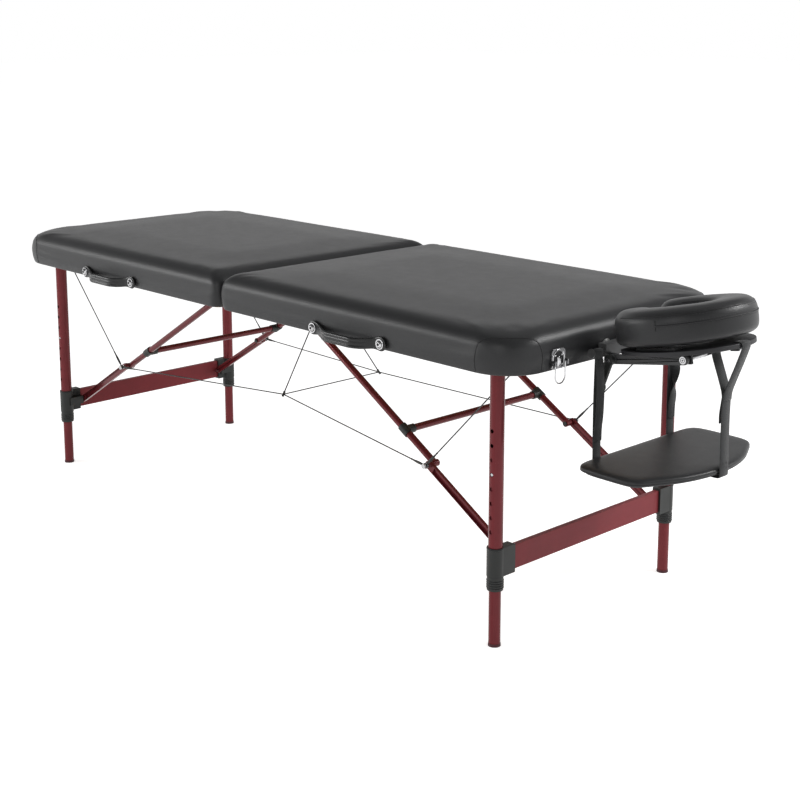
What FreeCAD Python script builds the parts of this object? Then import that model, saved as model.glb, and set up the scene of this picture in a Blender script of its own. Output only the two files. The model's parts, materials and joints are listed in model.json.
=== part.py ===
import FreeCAD, Part
import math
import os
import re

# Portable two-section treatment table: padded top that folds in the middle like a case,
# tube legs with button-locked extensions, folding braces with steel stay cables,
# a face-cradle headrest on two posts and a padded arm shelf hung from it on straps.
# Millimetres. +X runs along the table to the headrest, +Y to the back, +Z up.
# The origin lies on the floor under the middle of the split between the two halves.

SIZES = {
    # Padded top, one half
    "half_length": 925,
    "table_width": 710,
    "split_gap": 2,
    "underside_height": 583,
    "pad_height": 84,
    "pad_crown": 5,
    "edge_round": 34,
    "draw_in": 3,
    "bulge_height": 25,
    "crown_inset": 190,
    "corner_radius": 90,
    "split_corner_radius": 22,
    "cover_wall": 8,
    "soft_gap": 0.3,
    "fit": 0.05,
    "pivot_play": 0.5,
    # Wooden frame and deck under the foam
    "rail_width": 20,
    "rail_height": 43,
    "deck_thickness": 5,
    # Middle hinges
    "hinge_drop": 6,
    "hinge_offset": 230,
    "hinge_width": 70,
    "leaf_length": 38,
    "leaf_thickness": 2,
    "leaf_clearance": 1,
    "knuckle_radius": 5,
    "knuckle_length": 23,
    "knuckle_gap": 0.4,
    "hinge_pin_radius": 3,
    "pin_head": 2.5,
    # Legs
    "leg_setback": 96,
    "leg_inset": 71,
    "pivot_rise": 18,
    "tube_radius": 15,
    "tube_wall": 2,
    "tube_over": 11,
    "tube_low": 125,
    "inner_radius": 12.5,
    "inner_wall": 1.5,
    "inner_over": 35,
    "leg_bolt_radius": 4,
    "hole_radius": 4.2,
    "hole_pitch": 30,
    "holes_above": 3,
    "holes_below": 4,
    "button_height": 365,
    "button_radius": 3.9,
    "button_dome": 1,
    "button_tail": 5.5,
    "channel_depth": 1.2,
    "collar_radius": 17,
    "collar_low": 121,
    "sleeve_radius": 18,
    "sleeve_low": 151,
    "sleeve_height": 60,
    "crossbar_thickness": 12,
    "crossbar_height": 51,
    "crossbar_end_gap": 4,
    "socket_wall": 5,
    "socket_depth": 24,
    "foot_radius": 12.9,
    "foot_flare": 0.6,
    "foot_height": 22,
    "foot_sole": 6,
    # Braces
    "brace_pivot_x": 94,
    "brace_pivot_drop": 13,
    "brace_inset": 64,
    "brace_radius": 8,
    "brace_lug_x": 12,
    "brace_lug_height": 180,
    "lower_width": 18,
    "lower_thickness": 8,
    "lower_wall": 2,
    "brace_gap": 4,
    "brace_bolt_radius": 3,
    "knee_pin_reach": 12,
    "clamp_distance": 473,
    "clamp_radius": 10.5,
    "clamp_length": 26,
    "clamp_stub": 24,
    "clamp_stub_radius": 9.9,
    # Plates and fasteners
    "plate_thickness": 3,
    "clevis_flange": 8,
    "bolt_head": 3,
    "washer_radius": 11,
    "washer_thickness": 2,
    # Carrying handles
    "handle_middle": 463.5,
    "handle_span": 215,
    "handle_height": 22,
    "handle_thickness": 6,
    "handle_bow": 14,
    "handle_drop": 7,
    "handle_bolt_rise": 14,
    # Case latches
    "latch_offset": 219,
    "latch_rise": 17,
    "latch_width": 40,
    "latch_height": 40,
    "latch_corner": 8,
    "latch_ear_height": 10,
    "bail_radius": 1.5,
    "bail_length": 42,
    "bail_bend": 2.25,
    "bail_reach": 8,
    "keeper_height": 22,
    "keeper_reach": 4,
    "keeper_lip_rise": 8,
    "keeper_hook_width": 14,
    "keeper_hook_height": 10,
    # Stay cables
    "cable_radius": 1.2,
    "cable_node_y": 160,
    "cable_node_z": 340,
    "cable_anchor_x": 872,
    "eye_plate_length": 20,
    "eye_plate_width": 16,
    "cable_tab_width": 14,
    "cable_tab_depth": 22,
    "cable_tab_thickness": 3,
    "crimp_radius": 4,
    "centre_eye_drop": 10,
    "centre_eye_x": -20,
    # Headrest
    "post_offset": 70,
    "post_rise": 23,
    "post_radius": 7,
    "post_length": 150,
    "socket_radius": 11,
    "socket_length": 32,
    "socket_flange": 5,
    "base_front": 25,
    "base_width": 20,
    "base_height": 26,
    "tilt_reach": 37,
    "tilt_rise": 7,
    "arm_offset": 90,
    "arm_thickness": 6,
    "arm_height": 20,
    "arm_run": 168,
    "arm_lift": 28,
    "axle_radius": 5,
    "lug_thickness": 5,
    "cradle_gap": 1.5,
    "cradle_thickness": 9,
    "cradle_radius": 132,
    "cradle_setback": 54,
    "face_radius": 52,
    "cradle_mouth": 39,
    "cradle_end": 148,
    "cushion_radius": 140,
    "cushion_height": 71,
    "cushion_round": 26,
    "cushion_mouth_angle": 58,
    "strip_thickness": 3,
    "strip_length": 90,
    "strip_width": 28,
    "lever_hub_radius": 11,
    "lever_end_radius": 12,
    "lever_thickness": 7.5,
    "lever_back": 22,
    "lever_fall": 58,
    # Arm shelf and straps
    "shelf_height": 394,
    "shelf_thickness": 18,
    "shelf_start": 28,
    "shelf_half_width": 200,
    "shelf_corner_reach": 189,
    "shelf_reach": 242,
    "shelf_corner_radius": 30,
    "strap_width": 25,
    "strap_thickness": 2,
    "strap_offset": 122.5,
    "strap_bar_radius": 5,
    "strap_bar_setback": 6,
    "strap_flap": 34,
    "strap_fork_height": 545,
}

# Places worked out from the sizes above, each as an expression of earlier words
PLACES = {
    "half_width": "table_width / 2",
    "pad_start": "split_gap / 2",
    "deck_low": "underside_height + rail_height",
    "deck_top": "deck_low + deck_thickness",
    "pad_low": "deck_top + soft_gap",
    "pad_top": "underside_height + pad_height",
    "frame_start": "pad_start + cover_wall + soft_gap",
    "frame_end": "half_length - cover_wall - soft_gap",
    "frame_half": "half_width - cover_wall - soft_gap",
    "frame_corner": "corner_radius - cover_wall - soft_gap",
    "hinge_z": "underside_height - hinge_drop",
    "leaf_top": "underside_height - soft_gap",
    "leg_x": "half_length - leg_setback",
    "leg_y": "half_width - leg_inset",
    "pivot_z": "underside_height + pivot_rise",
    "tube_top": "pivot_z + tube_over",
    "inner_top": "button_height + inner_over",
    "crossbar_x": "leg_x",
    "crossbar_low": "sleeve_low + (sleeve_height - crossbar_height) / 2",
    "crossbar_half": "leg_y - sleeve_radius - crossbar_end_gap",
    "cheek_in": "tube_radius + pivot_play",
    "brace_cheek_in": "brace_radius + 2 * pivot_play",
    # Brace linkage in the plane y = constant: board pivot, leg pivot, folded leg pivot, knee
    "brace_z": "deck_low - brace_pivot_drop",
    "lug_x": "leg_x - brace_lug_x",
    "folded_x": "leg_x - (pivot_z - brace_lug_height)",
    "folded_z": "pivot_z + brace_lug_x",
    "brace_reach": "hypot(lug_x - brace_pivot_x; brace_z - brace_lug_height)",
    "folded_reach": "hypot(folded_x - brace_pivot_x; folded_z - brace_z)",
    "upper_length": "(brace_reach + folded_reach) / 2",
    "lower_length": "(brace_reach - folded_reach) / 2",
    "brace_cos": "(lug_x - brace_pivot_x) / brace_reach",
    "brace_sin": "(brace_z - brace_lug_height) / brace_reach",
    "brace_angle": "atan2(brace_sin; brace_cos)",
    "knee_x": "brace_pivot_x + upper_length * brace_cos",
    "knee_z": "brace_z - upper_length * brace_sin",
    "clamp_x": "brace_pivot_x + clamp_distance * brace_cos",
    "clamp_z": "brace_z - clamp_distance * brace_sin",
    "brace_offset": "leg_y - brace_inset",
    "lower_in": "brace_offset + brace_radius + brace_gap",
    "lower_out": "lower_in + lower_thickness",
    "knee_pin_end": "lower_out + knee_pin_reach",
    "cable_y": "knee_pin_end - knee_pin_reach / 3",
    "pin_head_radius": "brace_bolt_radius * 1.8",
    # Hardware on the sides and ends
    "handle_in": "half_width + soft_gap",
    "handle_z": "underside_height + handle_bolt_rise",
    "latch_z": "underside_height + latch_rise",
    "latch_x": "half_length + soft_gap",
    "bail_x": "latch_x + bail_reach",
    # Headrest: first tilt axis, second tilt axis, direction of the arms
    "post_z": "underside_height + post_rise",
    "base_x": "half_length + base_front",
    "tilt_x": "half_length + tilt_reach",
    "tilt_z": "underside_height + tilt_rise",
    "axle_x": "tilt_x + arm_run",
    "axle_z": "tilt_z + arm_lift",
    "arm_length": "hypot(arm_run; arm_lift)",
    "arm_angle": "atan2(arm_lift; arm_run)",
    "cradle_low": "arm_height / 2 + cradle_gap",
    "cradle_top": "cradle_low + cradle_thickness",
    "cushion_low": "cradle_top + strip_thickness + soft_gap",
    "arm_in": "arm_offset - arm_thickness / 2",
    "arm_out": "arm_offset + arm_thickness / 2",
    "lug_in": "arm_in - 2 * pivot_play - lug_thickness",
    "lug_out": "arm_out + 2 * pivot_play",
    "base_half": "lug_out + lug_thickness",
    "lever_in": "base_half + pivot_play",
    "bar_x": "base_x - strap_bar_setback",
    "strap_in": "strap_offset - strap_width / 2",
    "strap_out": "strap_offset + strap_width / 2",
    "strap_x": "bar_x + strap_bar_radius + soft_gap",
    "shelf_x": "half_length + shelf_start",
    "shelf_low": "shelf_height - shelf_thickness",
    "shelf_front": "half_length + shelf_reach",
    "front_strap_x": "shelf_front + soft_gap",
}

WORD = re.compile(r"[a-z_][a-z0-9_]*")
Vector = FreeCAD.Vector
Rotation = FreeCAD.Rotation
Placement = FreeCAD.Placement
ALONG = {
    "X": Rotation(Vector(0, 1, 0), 90),
    "Y": Rotation(Vector(1, 0, 0), -90),
    "Z": Rotation(),
}

doc = FreeCAD.newDocument("folding_table")
nodes = []


def bound(text):
    """Expression text with each known word led by the object that holds it."""
    def owner(match):
        word = match.group()
        if word in SIZES:
            return "sizes." + word
        if word in PLACES:
            return "places." + word
        return word
    return WORD.sub(owner, str(text))


def fill_sheet():
    """Driving dimensions, one named cell each."""
    sheet = doc.addObject("Spreadsheet::Sheet", "sizes")
    for row, (name, number) in enumerate(SIZES.items(), 1):
        sheet.set("A%d" % row, name.replace("_", " "))
        sheet.set("B%d" % row, str(number))
        sheet.setAlias("B%d" % row, name)
    doc.recompute()
    return sheet


def fill_places():
    """Derived places, bound to the sheet."""
    places = doc.addObject("App::VarSet", "places")
    for name, text in PLACES.items():
        kind = "App::PropertyAngle" if name.endswith("_angle") else "App::PropertyFloat"
        places.addProperty(kind, name)
        places.setExpression(name, bound(text))
    doc.recompute()
    return places


sheet = fill_sheet()
places = fill_places()


def val(name):
    """Number of a size or place, for the shapes that are drawn point by point."""
    number = getattr(sheet if name in SIZES else places, name)
    return float(getattr(number, "Value", number))


# Building blocks, all bound to the sheet


def seat(obj, at):
    """Bind an object's position to three expressions."""
    for coord, text in zip("xyz", at):
        obj.setExpression("Placement.Base." + coord, bound(text))
    return obj


def box(name, size, at):
    obj = doc.addObject("Part::Box", name)
    for prop, text in zip(("Length", "Width", "Height"), size):
        obj.setExpression(prop, bound(text))
    return seat(obj, at)


def span(name, x_span, y_span, z_span):
    """Box between two x, two y and two z values."""
    spans = (x_span, y_span, z_span)
    size = ["(%s) - (%s)" % (high, low) for low, high in spans]
    return box(name, size, [low for low, high in spans])


def rod(name, radius, length, at, along="Z"):
    obj = doc.addObject("Part::Cylinder", name)
    obj.setExpression("Radius", bound(radius))
    obj.setExpression("Height", bound(length))
    obj.Placement = Placement(Vector(), ALONG[along])
    return seat(obj, at)


def cross_rod(name, radius, y_low, y_high, x, z):
    """Cylinder along Y between two y values."""
    return rod(name, radius, "(%s) - (%s)" % (y_high, y_low), (x, y_low, z), "Y")


def turn_about_y(obj, angle):
    obj.Placement = Placement(Vector(), Rotation(Vector(0, 1, 0), 1))
    obj.setExpression("Placement.Rotation.Angle", bound(angle))
    return obj


def leaning(x0, z0, angle, along, across):
    """World x and z of a point on a frame turned up by an angle about Y."""
    x = "%s + (%s) * cos(%s) - (%s) * sin(%s)" % (x0, along, angle, across, angle)
    z = "%s + (%s) * sin(%s) + (%s) * cos(%s)" % (z0, along, angle, across, angle)
    return x, z


def leaning_box(name, origin, angle, u_span, y_span, w_span):
    """Box in a frame that starts at origin (x, z) and is turned up by an angle about Y."""
    spans = (u_span, y_span, w_span)
    size = ["(%s) - (%s)" % (high, low) for low, high in spans]
    x, z = leaning(origin[0], origin[1], angle, u_span[0], w_span[0])
    obj = turn_about_y(box(name, size, (x, y_span[0], z)), "-(%s)" % angle)
    return seat(obj, (x, y_span[0], z))


def leaning_disc(name, origin, angle, radius, u, w_span):
    """Cylinder that stands on the leaning frame's own upward axis."""
    height = "(%s) - (%s)" % (w_span[1], w_span[0])
    x, z = leaning(origin[0], origin[1], angle, u, w_span[0])
    obj = turn_about_y(rod(name, radius, height, (x, "0", z)), "-(%s)" % angle)
    return seat(obj, (x, "0", z))


def fuse(name, *shapes):
    obj = doc.addObject("Part::MultiFuse", name)
    obj.Shapes = list(shapes)
    obj.Refine = True
    return obj


def cut(name, base, *tools):
    tool = tools[0] if len(tools) == 1 else fuse(name + "_tools", *tools)
    obj = doc.addObject("Part::Cut", name)
    obj.Base = base
    obj.Tool = tool
    return obj


def group(name, *shapes):
    obj = doc.addObject("Part::Compound", name)
    obj.Links = list(shapes)
    return obj


def mirrored(name, source, normal):
    obj = doc.addObject("Part::Mirroring", name)
    obj.Source = source
    obj.Normal = normal
    return obj


def across(name, source):
    """Same piece on the other long side."""
    return mirrored(name, source, Vector(0, 1, 0))


def pair(name, source):
    """Near piece and its mirror image on the other long side."""
    return group(name, source, across(name + "_far", source))


def node(label, obj):
    obj.Label = label
    nodes.append(obj)
    return obj


def both_halves(label, obj):
    """Head-half piece and its mirror image on the foot half."""
    node("head_" + label, obj)
    node("foot_" + label, mirrored("foot_" + label, obj, Vector(1, 0, 0)))


def rounded_plate(name, x_span, half_width, z_span, end_radius, split_radius):
    """Plate centred on the table with one radius at the outer end and one at the split."""
    body = doc.addObject("PartDesign::Body", name)
    blank = body.newObject("PartDesign::AdditiveBox", name + "_blank")
    sizes = ("(%s) - (%s)" % (x_span[1], x_span[0]), "2 * (%s)" % half_width,
             "(%s) - (%s)" % (z_span[1], z_span[0]))
    for prop, text in zip(("Length", "Width", "Height"), sizes):
        blank.setExpression(prop, bound(text))
    doc.recompute()
    length = blank.Length.Value
    for tag, radius, edge_x in (("end", end_radius, length), ("split", split_radius, 0)):
        base = body.Tip
        edges = []
        for index, edge in enumerate(base.Shape.Edges, 1):
            low, high = edge.BoundBox.ZMin, edge.BoundBox.ZMax
            upright = high - low > blank.Height.Value / 2 and edge.BoundBox.XLength < 0.001
            if upright and abs(edge.BoundBox.XMin - edge_x) < 0.001:
                edges.append("Edge%d" % index)
        corner = body.newObject("PartDesign::Fillet", name + "_" + tag)
        corner.Base = (base, edges)
        corner.setExpression("Radius", bound(radius))
        doc.recompute()
    return seat(body, (x_span[0], "-(%s)" % half_width, z_span[0]))


def bolt(name, radius, y_low, y_high, x, z):
    """Bolt along Y with a hexagon head outside each of two faces."""
    shank = cross_rod(name + "_shank", radius, y_low, y_high, x, z)
    heads = []
    for tag, low in (("low", "(%s) - bolt_head" % y_low), ("high", y_high)):
        head = doc.addObject("Part::Prism", name + "_" + tag)
        head.Polygon = 6
        head.setExpression("Circumradius", bound("1.7 * (%s)" % radius))
        head.setExpression("Height", bound("bolt_head"))
        head.Placement = Placement(Vector(), ALONG["Y"])
        heads.append(seat(head, (x, low, z)))
    return fuse(name, shank, *heads)


# Padded top


def rounded_wire(x0, x1, half_y, end_radius, split_radius, z):
    """Level outline of lines and quarter arcs with its own radius at each end."""
    corners = (
        (x0, -half_y, split_radius, 180), (x1, -half_y, end_radius, 270),
        (x1, half_y, end_radius, 0), (x0, half_y, split_radius, 90),
    )
    edges = []
    ends = []
    for x, y, radius, start in corners:
        middle = Vector(x - math.copysign(radius, x - (x0 + x1) / 2), y - math.copysign(radius, y), z)
        points = []
        for turn in (0, 45, 90):
            angle = math.radians(start + turn)
            points.append(middle + Vector(radius * math.cos(angle), radius * math.sin(angle), 0))
        edges.append(Part.Arc(*points).toShape())
        ends.append((points[0], points[2]))
    for index in range(4):
        edges.append(Part.LineSegment(ends[index][1], ends[(index + 1) % 4][0]).toShape())
    return Part.Wire(Part.__sortEdges__(edges))


def pad_form():
    """Crowned block with drawn-in sides and a broad round along its top edge."""
    low, top = val("underside_height"), val("pad_top")
    turn_radius = val("edge_round")
    levels = [(low, val("draw_in")), (low + val("bulge_height"), 0.0)]
    for angle in (0, 20, 40, 58, 74):
        turn = math.radians(angle)
        levels.append((top - turn_radius * (1 - math.sin(turn)), turn_radius * (1 - math.cos(turn))))
    levels.append((top + 0.3 * val("pad_crown"), 2 * turn_radius))
    levels.append((top + val("pad_crown"), val("crown_inset")))
    wires = []
    for z, inset in levels:
        wires.append(rounded_wire(val("pad_start") + inset, val("half_length") - inset,
                                  val("half_width") - inset, val("corner_radius"),
                                  val("split_corner_radius"), z))
    form = doc.addObject("Part::Feature", "pad_form")
    form.Shape = Part.makeLoft(wires, True, True)
    return form


def handle_holes(name, radius):
    """Bolt holes of the carrying handle, through the near side."""
    ends = ("handle_middle - handle_span / 2", "handle_middle + handle_span / 2")
    holes = []
    for index, x in enumerate(ends):
        holes.append(cross_rod("%s_%d" % (name, index), radius, "-half_width - cover_wall",
                               "rail_width + 2 * cover_wall - half_width", x, "handle_z"))
    return holes


def post_holes(name, radius):
    """Holes for the headrest sockets, through the head end."""
    first = rod(name, radius, "4 * rail_width",
                ("half_length - 2 * rail_width", "-post_offset", "post_z"), "X")
    return [first, across(name + "_far", first)]


def frame_rails(ring):
    """The frame's ring sawn into two long rails and two end rails that butt against them."""
    long_x = ("frame_start + rail_width", "frame_end - frame_corner")
    whole_y = ("-frame_half", "frame_half")
    pieces = (
        ("split_rail", ("frame_start", long_x[0]), whole_y), ("end_rail", (long_x[1], "frame_end"), whole_y),
        ("near_rail", long_x, ("-frame_half", "0")), ("far_rail", long_x, ("0", "frame_half")),
    )
    rails = []
    for name, x_span, y_span in pieces:
        rail = doc.addObject("Part::Common", name)
        rail.Base = ring
        rail.Tool = span(name + "_block", x_span, y_span, ("underside_height", "deck_low"))
        rails.append(rail)
    return rails


def build_top():
    well = rounded_plate("pad_well", ("pad_start + cover_wall", "half_length - cover_wall"),
                         "half_width - cover_wall", ("underside_height - cover_wall", "pad_low"),
                         "corner_radius - cover_wall", "split_corner_radius - cover_wall")
    pad = cut("pad_shell", pad_form(), well, *handle_holes("pad_hole", "leg_bolt_radius + soft_gap"))
    node("foot_pad", mirrored("foot_pad", pad, Vector(1, 0, 0)))
    node("head_pad", cut("head_pad", pad, *post_holes("pad_post", "socket_radius + soft_gap")))

    deck = rounded_plate("deck", ("frame_start", "frame_end"), "frame_half",
                         ("deck_low", "deck_top"), "frame_corner", "split_corner_radius - cover_wall")
    both_halves("deck", deck)

    outer = rounded_plate("frame_outer", ("frame_start", "frame_end"), "frame_half",
                          ("underside_height", "deck_low"), "frame_corner",
                          "split_corner_radius - cover_wall")
    inner = rounded_plate("frame_inner", ("frame_start + rail_width", "frame_end - rail_width"),
                          "frame_half - rail_width", ("underside_height - deck_thickness", "deck_top"),
                          "frame_corner - rail_width", "split_corner_radius / 2")
    ring = cut("frame_ring", outer, inner, *handle_holes("frame_hole", "leg_bolt_radius + fit"))
    frame = group("frame", *frame_rails(ring))
    node("foot_frame", mirrored("foot_frame", frame, Vector(1, 0, 0)))
    node("head_frame", cut("head_frame", frame, *post_holes("frame_post", "socket_radius + fit")))


# Middle hinges


def hinge_leaf(name, side, knuckles):
    """One leaf under a rail with its knuckles round the hinge line; side is 1 for head, -1 for foot."""
    start = "knuckle_radius + leaf_clearance"
    end = start + " + leaf_length"
    x_span = (start, end) if side > 0 else ("-(%s)" % end, "-(%s)" % start)
    z_span = ("leaf_top - leaf_thickness", "leaf_top")
    pieces = [span(name + "_leaf", x_span, ("hinge_offset - hinge_width / 2",
                                            "hinge_offset + hinge_width / 2"), z_span)]
    bores = []
    for index, (low, high) in enumerate(knuckles):
        tag = "%s_%d" % (name, index)
        tongue = ("0", start) if side > 0 else ("-(%s)" % start, "0")
        pieces.append(span(tag + "_tongue", tongue, (low, high), z_span))
        pieces.append(cross_rod(tag + "_barrel", "knuckle_radius", low, high, "0", "hinge_z"))
        bores.append(cross_rod(tag + "_bore", "hinge_pin_radius + fit", low, high, "0", "hinge_z"))
    return pair(name, cut(name + "_near", fuse(name + "_blank", *pieces), *bores))


def build_hinges():
    middle_low = "hinge_offset - knuckle_length / 2"
    middle_high = "hinge_offset + knuckle_length / 2"
    low_end = "hinge_offset - hinge_width / 2"
    high_end = "hinge_offset + hinge_width / 2"
    node("head_hinge_leaves", hinge_leaf("head_hinge", 1, [(middle_low, middle_high)]))
    node("foot_hinge_leaves", hinge_leaf("foot_hinge", -1, [
        (low_end, middle_low + " - knuckle_gap"), (middle_high + " + knuckle_gap", high_end)]))
    pin = cross_rod("pin_shank", "hinge_pin_radius", low_end, high_end, "0", "hinge_z")
    heads = []
    for tag, low, high in (("in", low_end + " - pin_head", low_end),
                           ("out", high_end, high_end + " + pin_head")):
        heads.append(cross_rod("pin_" + tag, "hinge_pin_radius * 1.5", low, high, "0", "hinge_z"))
    node("hinge_pins", pair("hinge_pins", fuse("pin", pin, *heads)))


# Brackets and bolts that stay with each half of the top


def clevis(name, x, y, reach, cheek_in, z_low, pivot, hole):
    """Two cheeks under a plate screwed to the deck, bored for a bolt along Y."""
    out = "(%s) + plate_thickness" % cheek_in
    plate = span(name + "_plate", ("%s - (%s) - clevis_flange" % (x, reach),
                                  "%s + (%s) + clevis_flange" % (x, reach)),
                 ("%s - (%s)" % (y, out), "%s + (%s)" % (y, out)),
                 ("deck_low - plate_thickness", "deck_low"))
    cheeks = []
    for tag, low, high in (("in", "%s - (%s)" % (y, out), "%s - (%s)" % (y, cheek_in)),
                           ("out", "%s + (%s)" % (y, cheek_in), "%s + (%s)" % (y, out))):
        cheeks.append(span(name + "_" + tag, ("%s - (%s)" % (x, reach), "%s + (%s)" % (x, reach)),
                           (low, high), (z_low, "deck_low")))
    bore = cross_rod(name + "_bore", hole, "%s - 2 * (%s)" % (y, out), "%s + 2 * (%s)" % (y, out), x, pivot)
    return cut(name, fuse(name + "_blank", plate, *cheeks), bore)


def cable_eye(name, x, y):
    """Small angle under the deck with an eye for a stay cable."""
    plate = span(name + "_plate", (x + " - eye_plate_length / 2", x + " + eye_plate_length / 2"),
                 (y + " - eye_plate_width / 2", y + " + eye_plate_width / 2"),
                 ("deck_low - plate_thickness", "deck_low"))
    tab = span(name + "_tab", (x + " - cable_tab_width / 2", x + " + cable_tab_width / 2"),
               (y + " - cable_tab_thickness / 2", y + " + cable_tab_thickness / 2"),
               ("deck_low - cable_tab_depth", "deck_low"))
    return fuse(name, plate, tab)


def centre_eye():
    """Angle under the middle of the split that holds the two centre cables."""
    plate = span("centre_eye_plate",
                 ("centre_eye_x - eye_plate_length / 2", "centre_eye_x + eye_plate_length / 2"),
                 ("-eye_plate_width * 0.75", "eye_plate_width * 0.75"),
                 ("underside_height - plate_thickness", "underside_height - soft_gap"))
    tab = span("centre_eye_tab", ("centre_eye_x - cable_tab_thickness", "centre_eye_x + cable_tab_thickness"),
               ("-cable_tab_thickness / 2", "cable_tab_thickness / 2"),
               ("underside_height - centre_eye_drop", "underside_height - soft_gap"))
    return fuse("centre_eye", plate, tab)


def build_brackets(handle_bolts):
    leg = clevis("leg_clevis", "leg_x", "leg_y", "leg_bolt_radius * 4", "cheek_in",
                 "pivot_z - 3.25 * leg_bolt_radius", "pivot_z", "leg_bolt_radius + fit")
    brace = clevis("brace_clevis", "brace_pivot_x", "brace_offset", "brace_bolt_radius * 4",
                   "brace_cheek_in", "brace_z - 3 * brace_bolt_radius", "brace_z", "brace_bolt_radius + fit")
    eye = cable_eye("cable_eye", "cable_anchor_x", "cable_y")
    brackets = group("brackets", *[pair(piece.Name + "_pair", piece) for piece in (leg, brace, eye)])
    node("head_brackets", brackets)
    foot = mirrored("brackets_foot", brackets, Vector(1, 0, 0))
    node("foot_brackets", group("foot_brackets", foot, centre_eye()))

    leg_bolt = bolt("leg_bolt", "leg_bolt_radius", "leg_y - cheek_in - plate_thickness",
                    "leg_y + cheek_in + plate_thickness", "leg_x", "pivot_z")
    brace_bolt = bolt("brace_bolt", "brace_bolt_radius",
                      "brace_offset - brace_cheek_in - plate_thickness",
                      "brace_offset + brace_cheek_in + plate_thickness", "brace_pivot_x", "brace_z")
    both_halves("bolts", group("bolts", pair("leg_bolts", leg_bolt), pair("brace_bolts", brace_bolt),
                               *handle_bolts))


# Carrying handles on the near side


def handle_form():
    """Bowed strap with flat ends, drawn from above and raised to its height."""
    left = val("handle_middle") - val("handle_span") / 2
    right = val("handle_middle") + val("handle_span") / 2
    near, thick, bow = -val("handle_in"), val("handle_thickness"), val("handle_bow")
    tab = val("washer_radius") + thick / 2
    start, end, middle = left + tab, right - tab, val("handle_middle")
    z = val("handle_z") - val("handle_drop") - val("handle_height") / 2

    def at(x, y):
        return Vector(x, y, z)

    corners = [at(start, near), at(left - tab, near), at(left - tab, near - thick), at(start, near - thick)]
    other = [at(end, near - thick), at(right + tab, near - thick), at(right + tab, near), at(end, near)]
    edges = [Part.LineSegment(a, b).toShape() for a, b in zip(corners, corners[1:])]
    edges.append(Part.Arc(corners[-1], at(middle, near - thick - bow), other[0]).toShape())
    edges += [Part.LineSegment(a, b).toShape() for a, b in zip(other, other[1:])]
    edges.append(Part.Arc(other[-1], at(middle, near - bow), corners[0]).toShape())
    form = doc.addObject("Part::Feature", "handle_form")
    form.Shape = Part.Face(Part.Wire(edges)).extrude(Vector(0, 0, val("handle_height")))
    return form


def build_handles():
    holes = []
    bolts = []
    face = "-handle_in - handle_thickness"
    for index, x in enumerate(("handle_middle - handle_span / 2", "handle_middle + handle_span / 2")):
        tag = "handle_%d" % index
        holes.append(cross_rod(tag + "_hole", "leg_bolt_radius + fit", "-half_width - 5 * handle_thickness",
                               "cover_wall - half_width", x, "handle_z"))
        shank = cross_rod(tag + "_shank", "leg_bolt_radius", face + " - washer_thickness",
                          "rail_width + cover_wall - half_width", x, "handle_z")
        washer = cross_rod(tag + "_washer", "washer_radius", face + " - washer_thickness", face,
                           x, "handle_z")
        dome = doc.addObject("Part::Cone", tag + "_dome")
        dome.setExpression("Radius1", bound("leg_bolt_radius * 1.9"))
        dome.setExpression("Radius2", bound("leg_bolt_radius * 1.2"))
        dome.setExpression("Height", bound("bolt_head * 4 / 3"))
        dome.Placement = Placement(Vector(), Rotation(Vector(1, 0, 0), 90))
        seat(dome, (x, face + " - washer_thickness", "handle_z"))
        bolts.append(fuse(tag + "_bolt", shank, washer, dome))
    both_halves("handle", cut("handle", handle_form(), *holes))
    return bolts


# Latches that hold the folded case shut


def latch_form():
    """Back plate with round corners, drawn against the end of the table."""
    x, round_off = val("latch_x"), val("latch_corner")
    middle, reach = val("latch_offset"), val("latch_width") / 2
    low = val("latch_z") - val("latch_height") / 3
    high = low + val("latch_height")
    inset = round_off * (1 - math.sqrt(0.5))

    def at(y, z):
        return Vector(x, middle + y, z)

    edges = []
    for side, start, end in ((1, low, high), (-1, high, low)):
        way = 1 if end > start else -1
        edges += [
            Part.LineSegment(at(side * (round_off - reach), start), at(side * (reach - round_off), start)),
            Part.Arc(at(side * (reach - round_off), start), at(side * (reach - inset), start + way * inset),
                     at(side * reach, start + way * round_off)),
            Part.LineSegment(at(side * reach, start + way * round_off), at(side * reach, end - way * round_off)),
            Part.Arc(at(side * reach, end - way * round_off), at(side * (reach - inset), end - way * inset),
                     at(side * (reach - round_off), end)),
        ]
    form = doc.addObject("Part::Feature", "latch_form")
    outline = Part.Wire([edge.toShape() for edge in edges])
    form.Shape = Part.Face(outline).extrude(Vector(val("plate_thickness"), 0, 0))
    return form


def bail_form():
    """Bent wire: an end in each ear, a bend, a leg on either side and a round bottom."""
    x, z, bend = val("bail_x"), val("latch_z"), val("bail_bend")
    middle, reach = val("latch_offset"), val("latch_width") / 2
    arm = reach - val("plate_thickness") - val("bail_radius") - 2 * val("pivot_play")
    low = z - val("bail_length") + arm
    inset = bend * (1 - math.sqrt(0.5))

    def at(y, height):
        return Vector(x, middle + y, height)

    edges = [
        Part.LineSegment(at(-reach, z), at(-arm - bend, z)),
        Part.Arc(at(-arm - bend, z), at(-arm - inset, z - inset), at(-arm, z - bend)),
        Part.LineSegment(at(-arm, z - bend), at(-arm, low)),
        Part.Arc(at(-arm, low), at(0, low - arm), at(arm, low)),
        Part.LineSegment(at(arm, low), at(arm, z - bend)),
        Part.Arc(at(arm, z - bend), at(arm + inset, z - inset), at(arm + bend, z)),
        Part.LineSegment(at(arm + bend, z), at(reach, z)),
    ]
    path = Part.Wire([edge.toShape() for edge in edges])
    section = Part.Wire(Part.makeCircle(val("bail_radius"), at(-reach, z), Vector(0, 1, 0)))
    form = doc.addObject("Part::Feature", "bail_form")
    form.Shape = path.makePipeShell([section], True, True)
    return form


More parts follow.
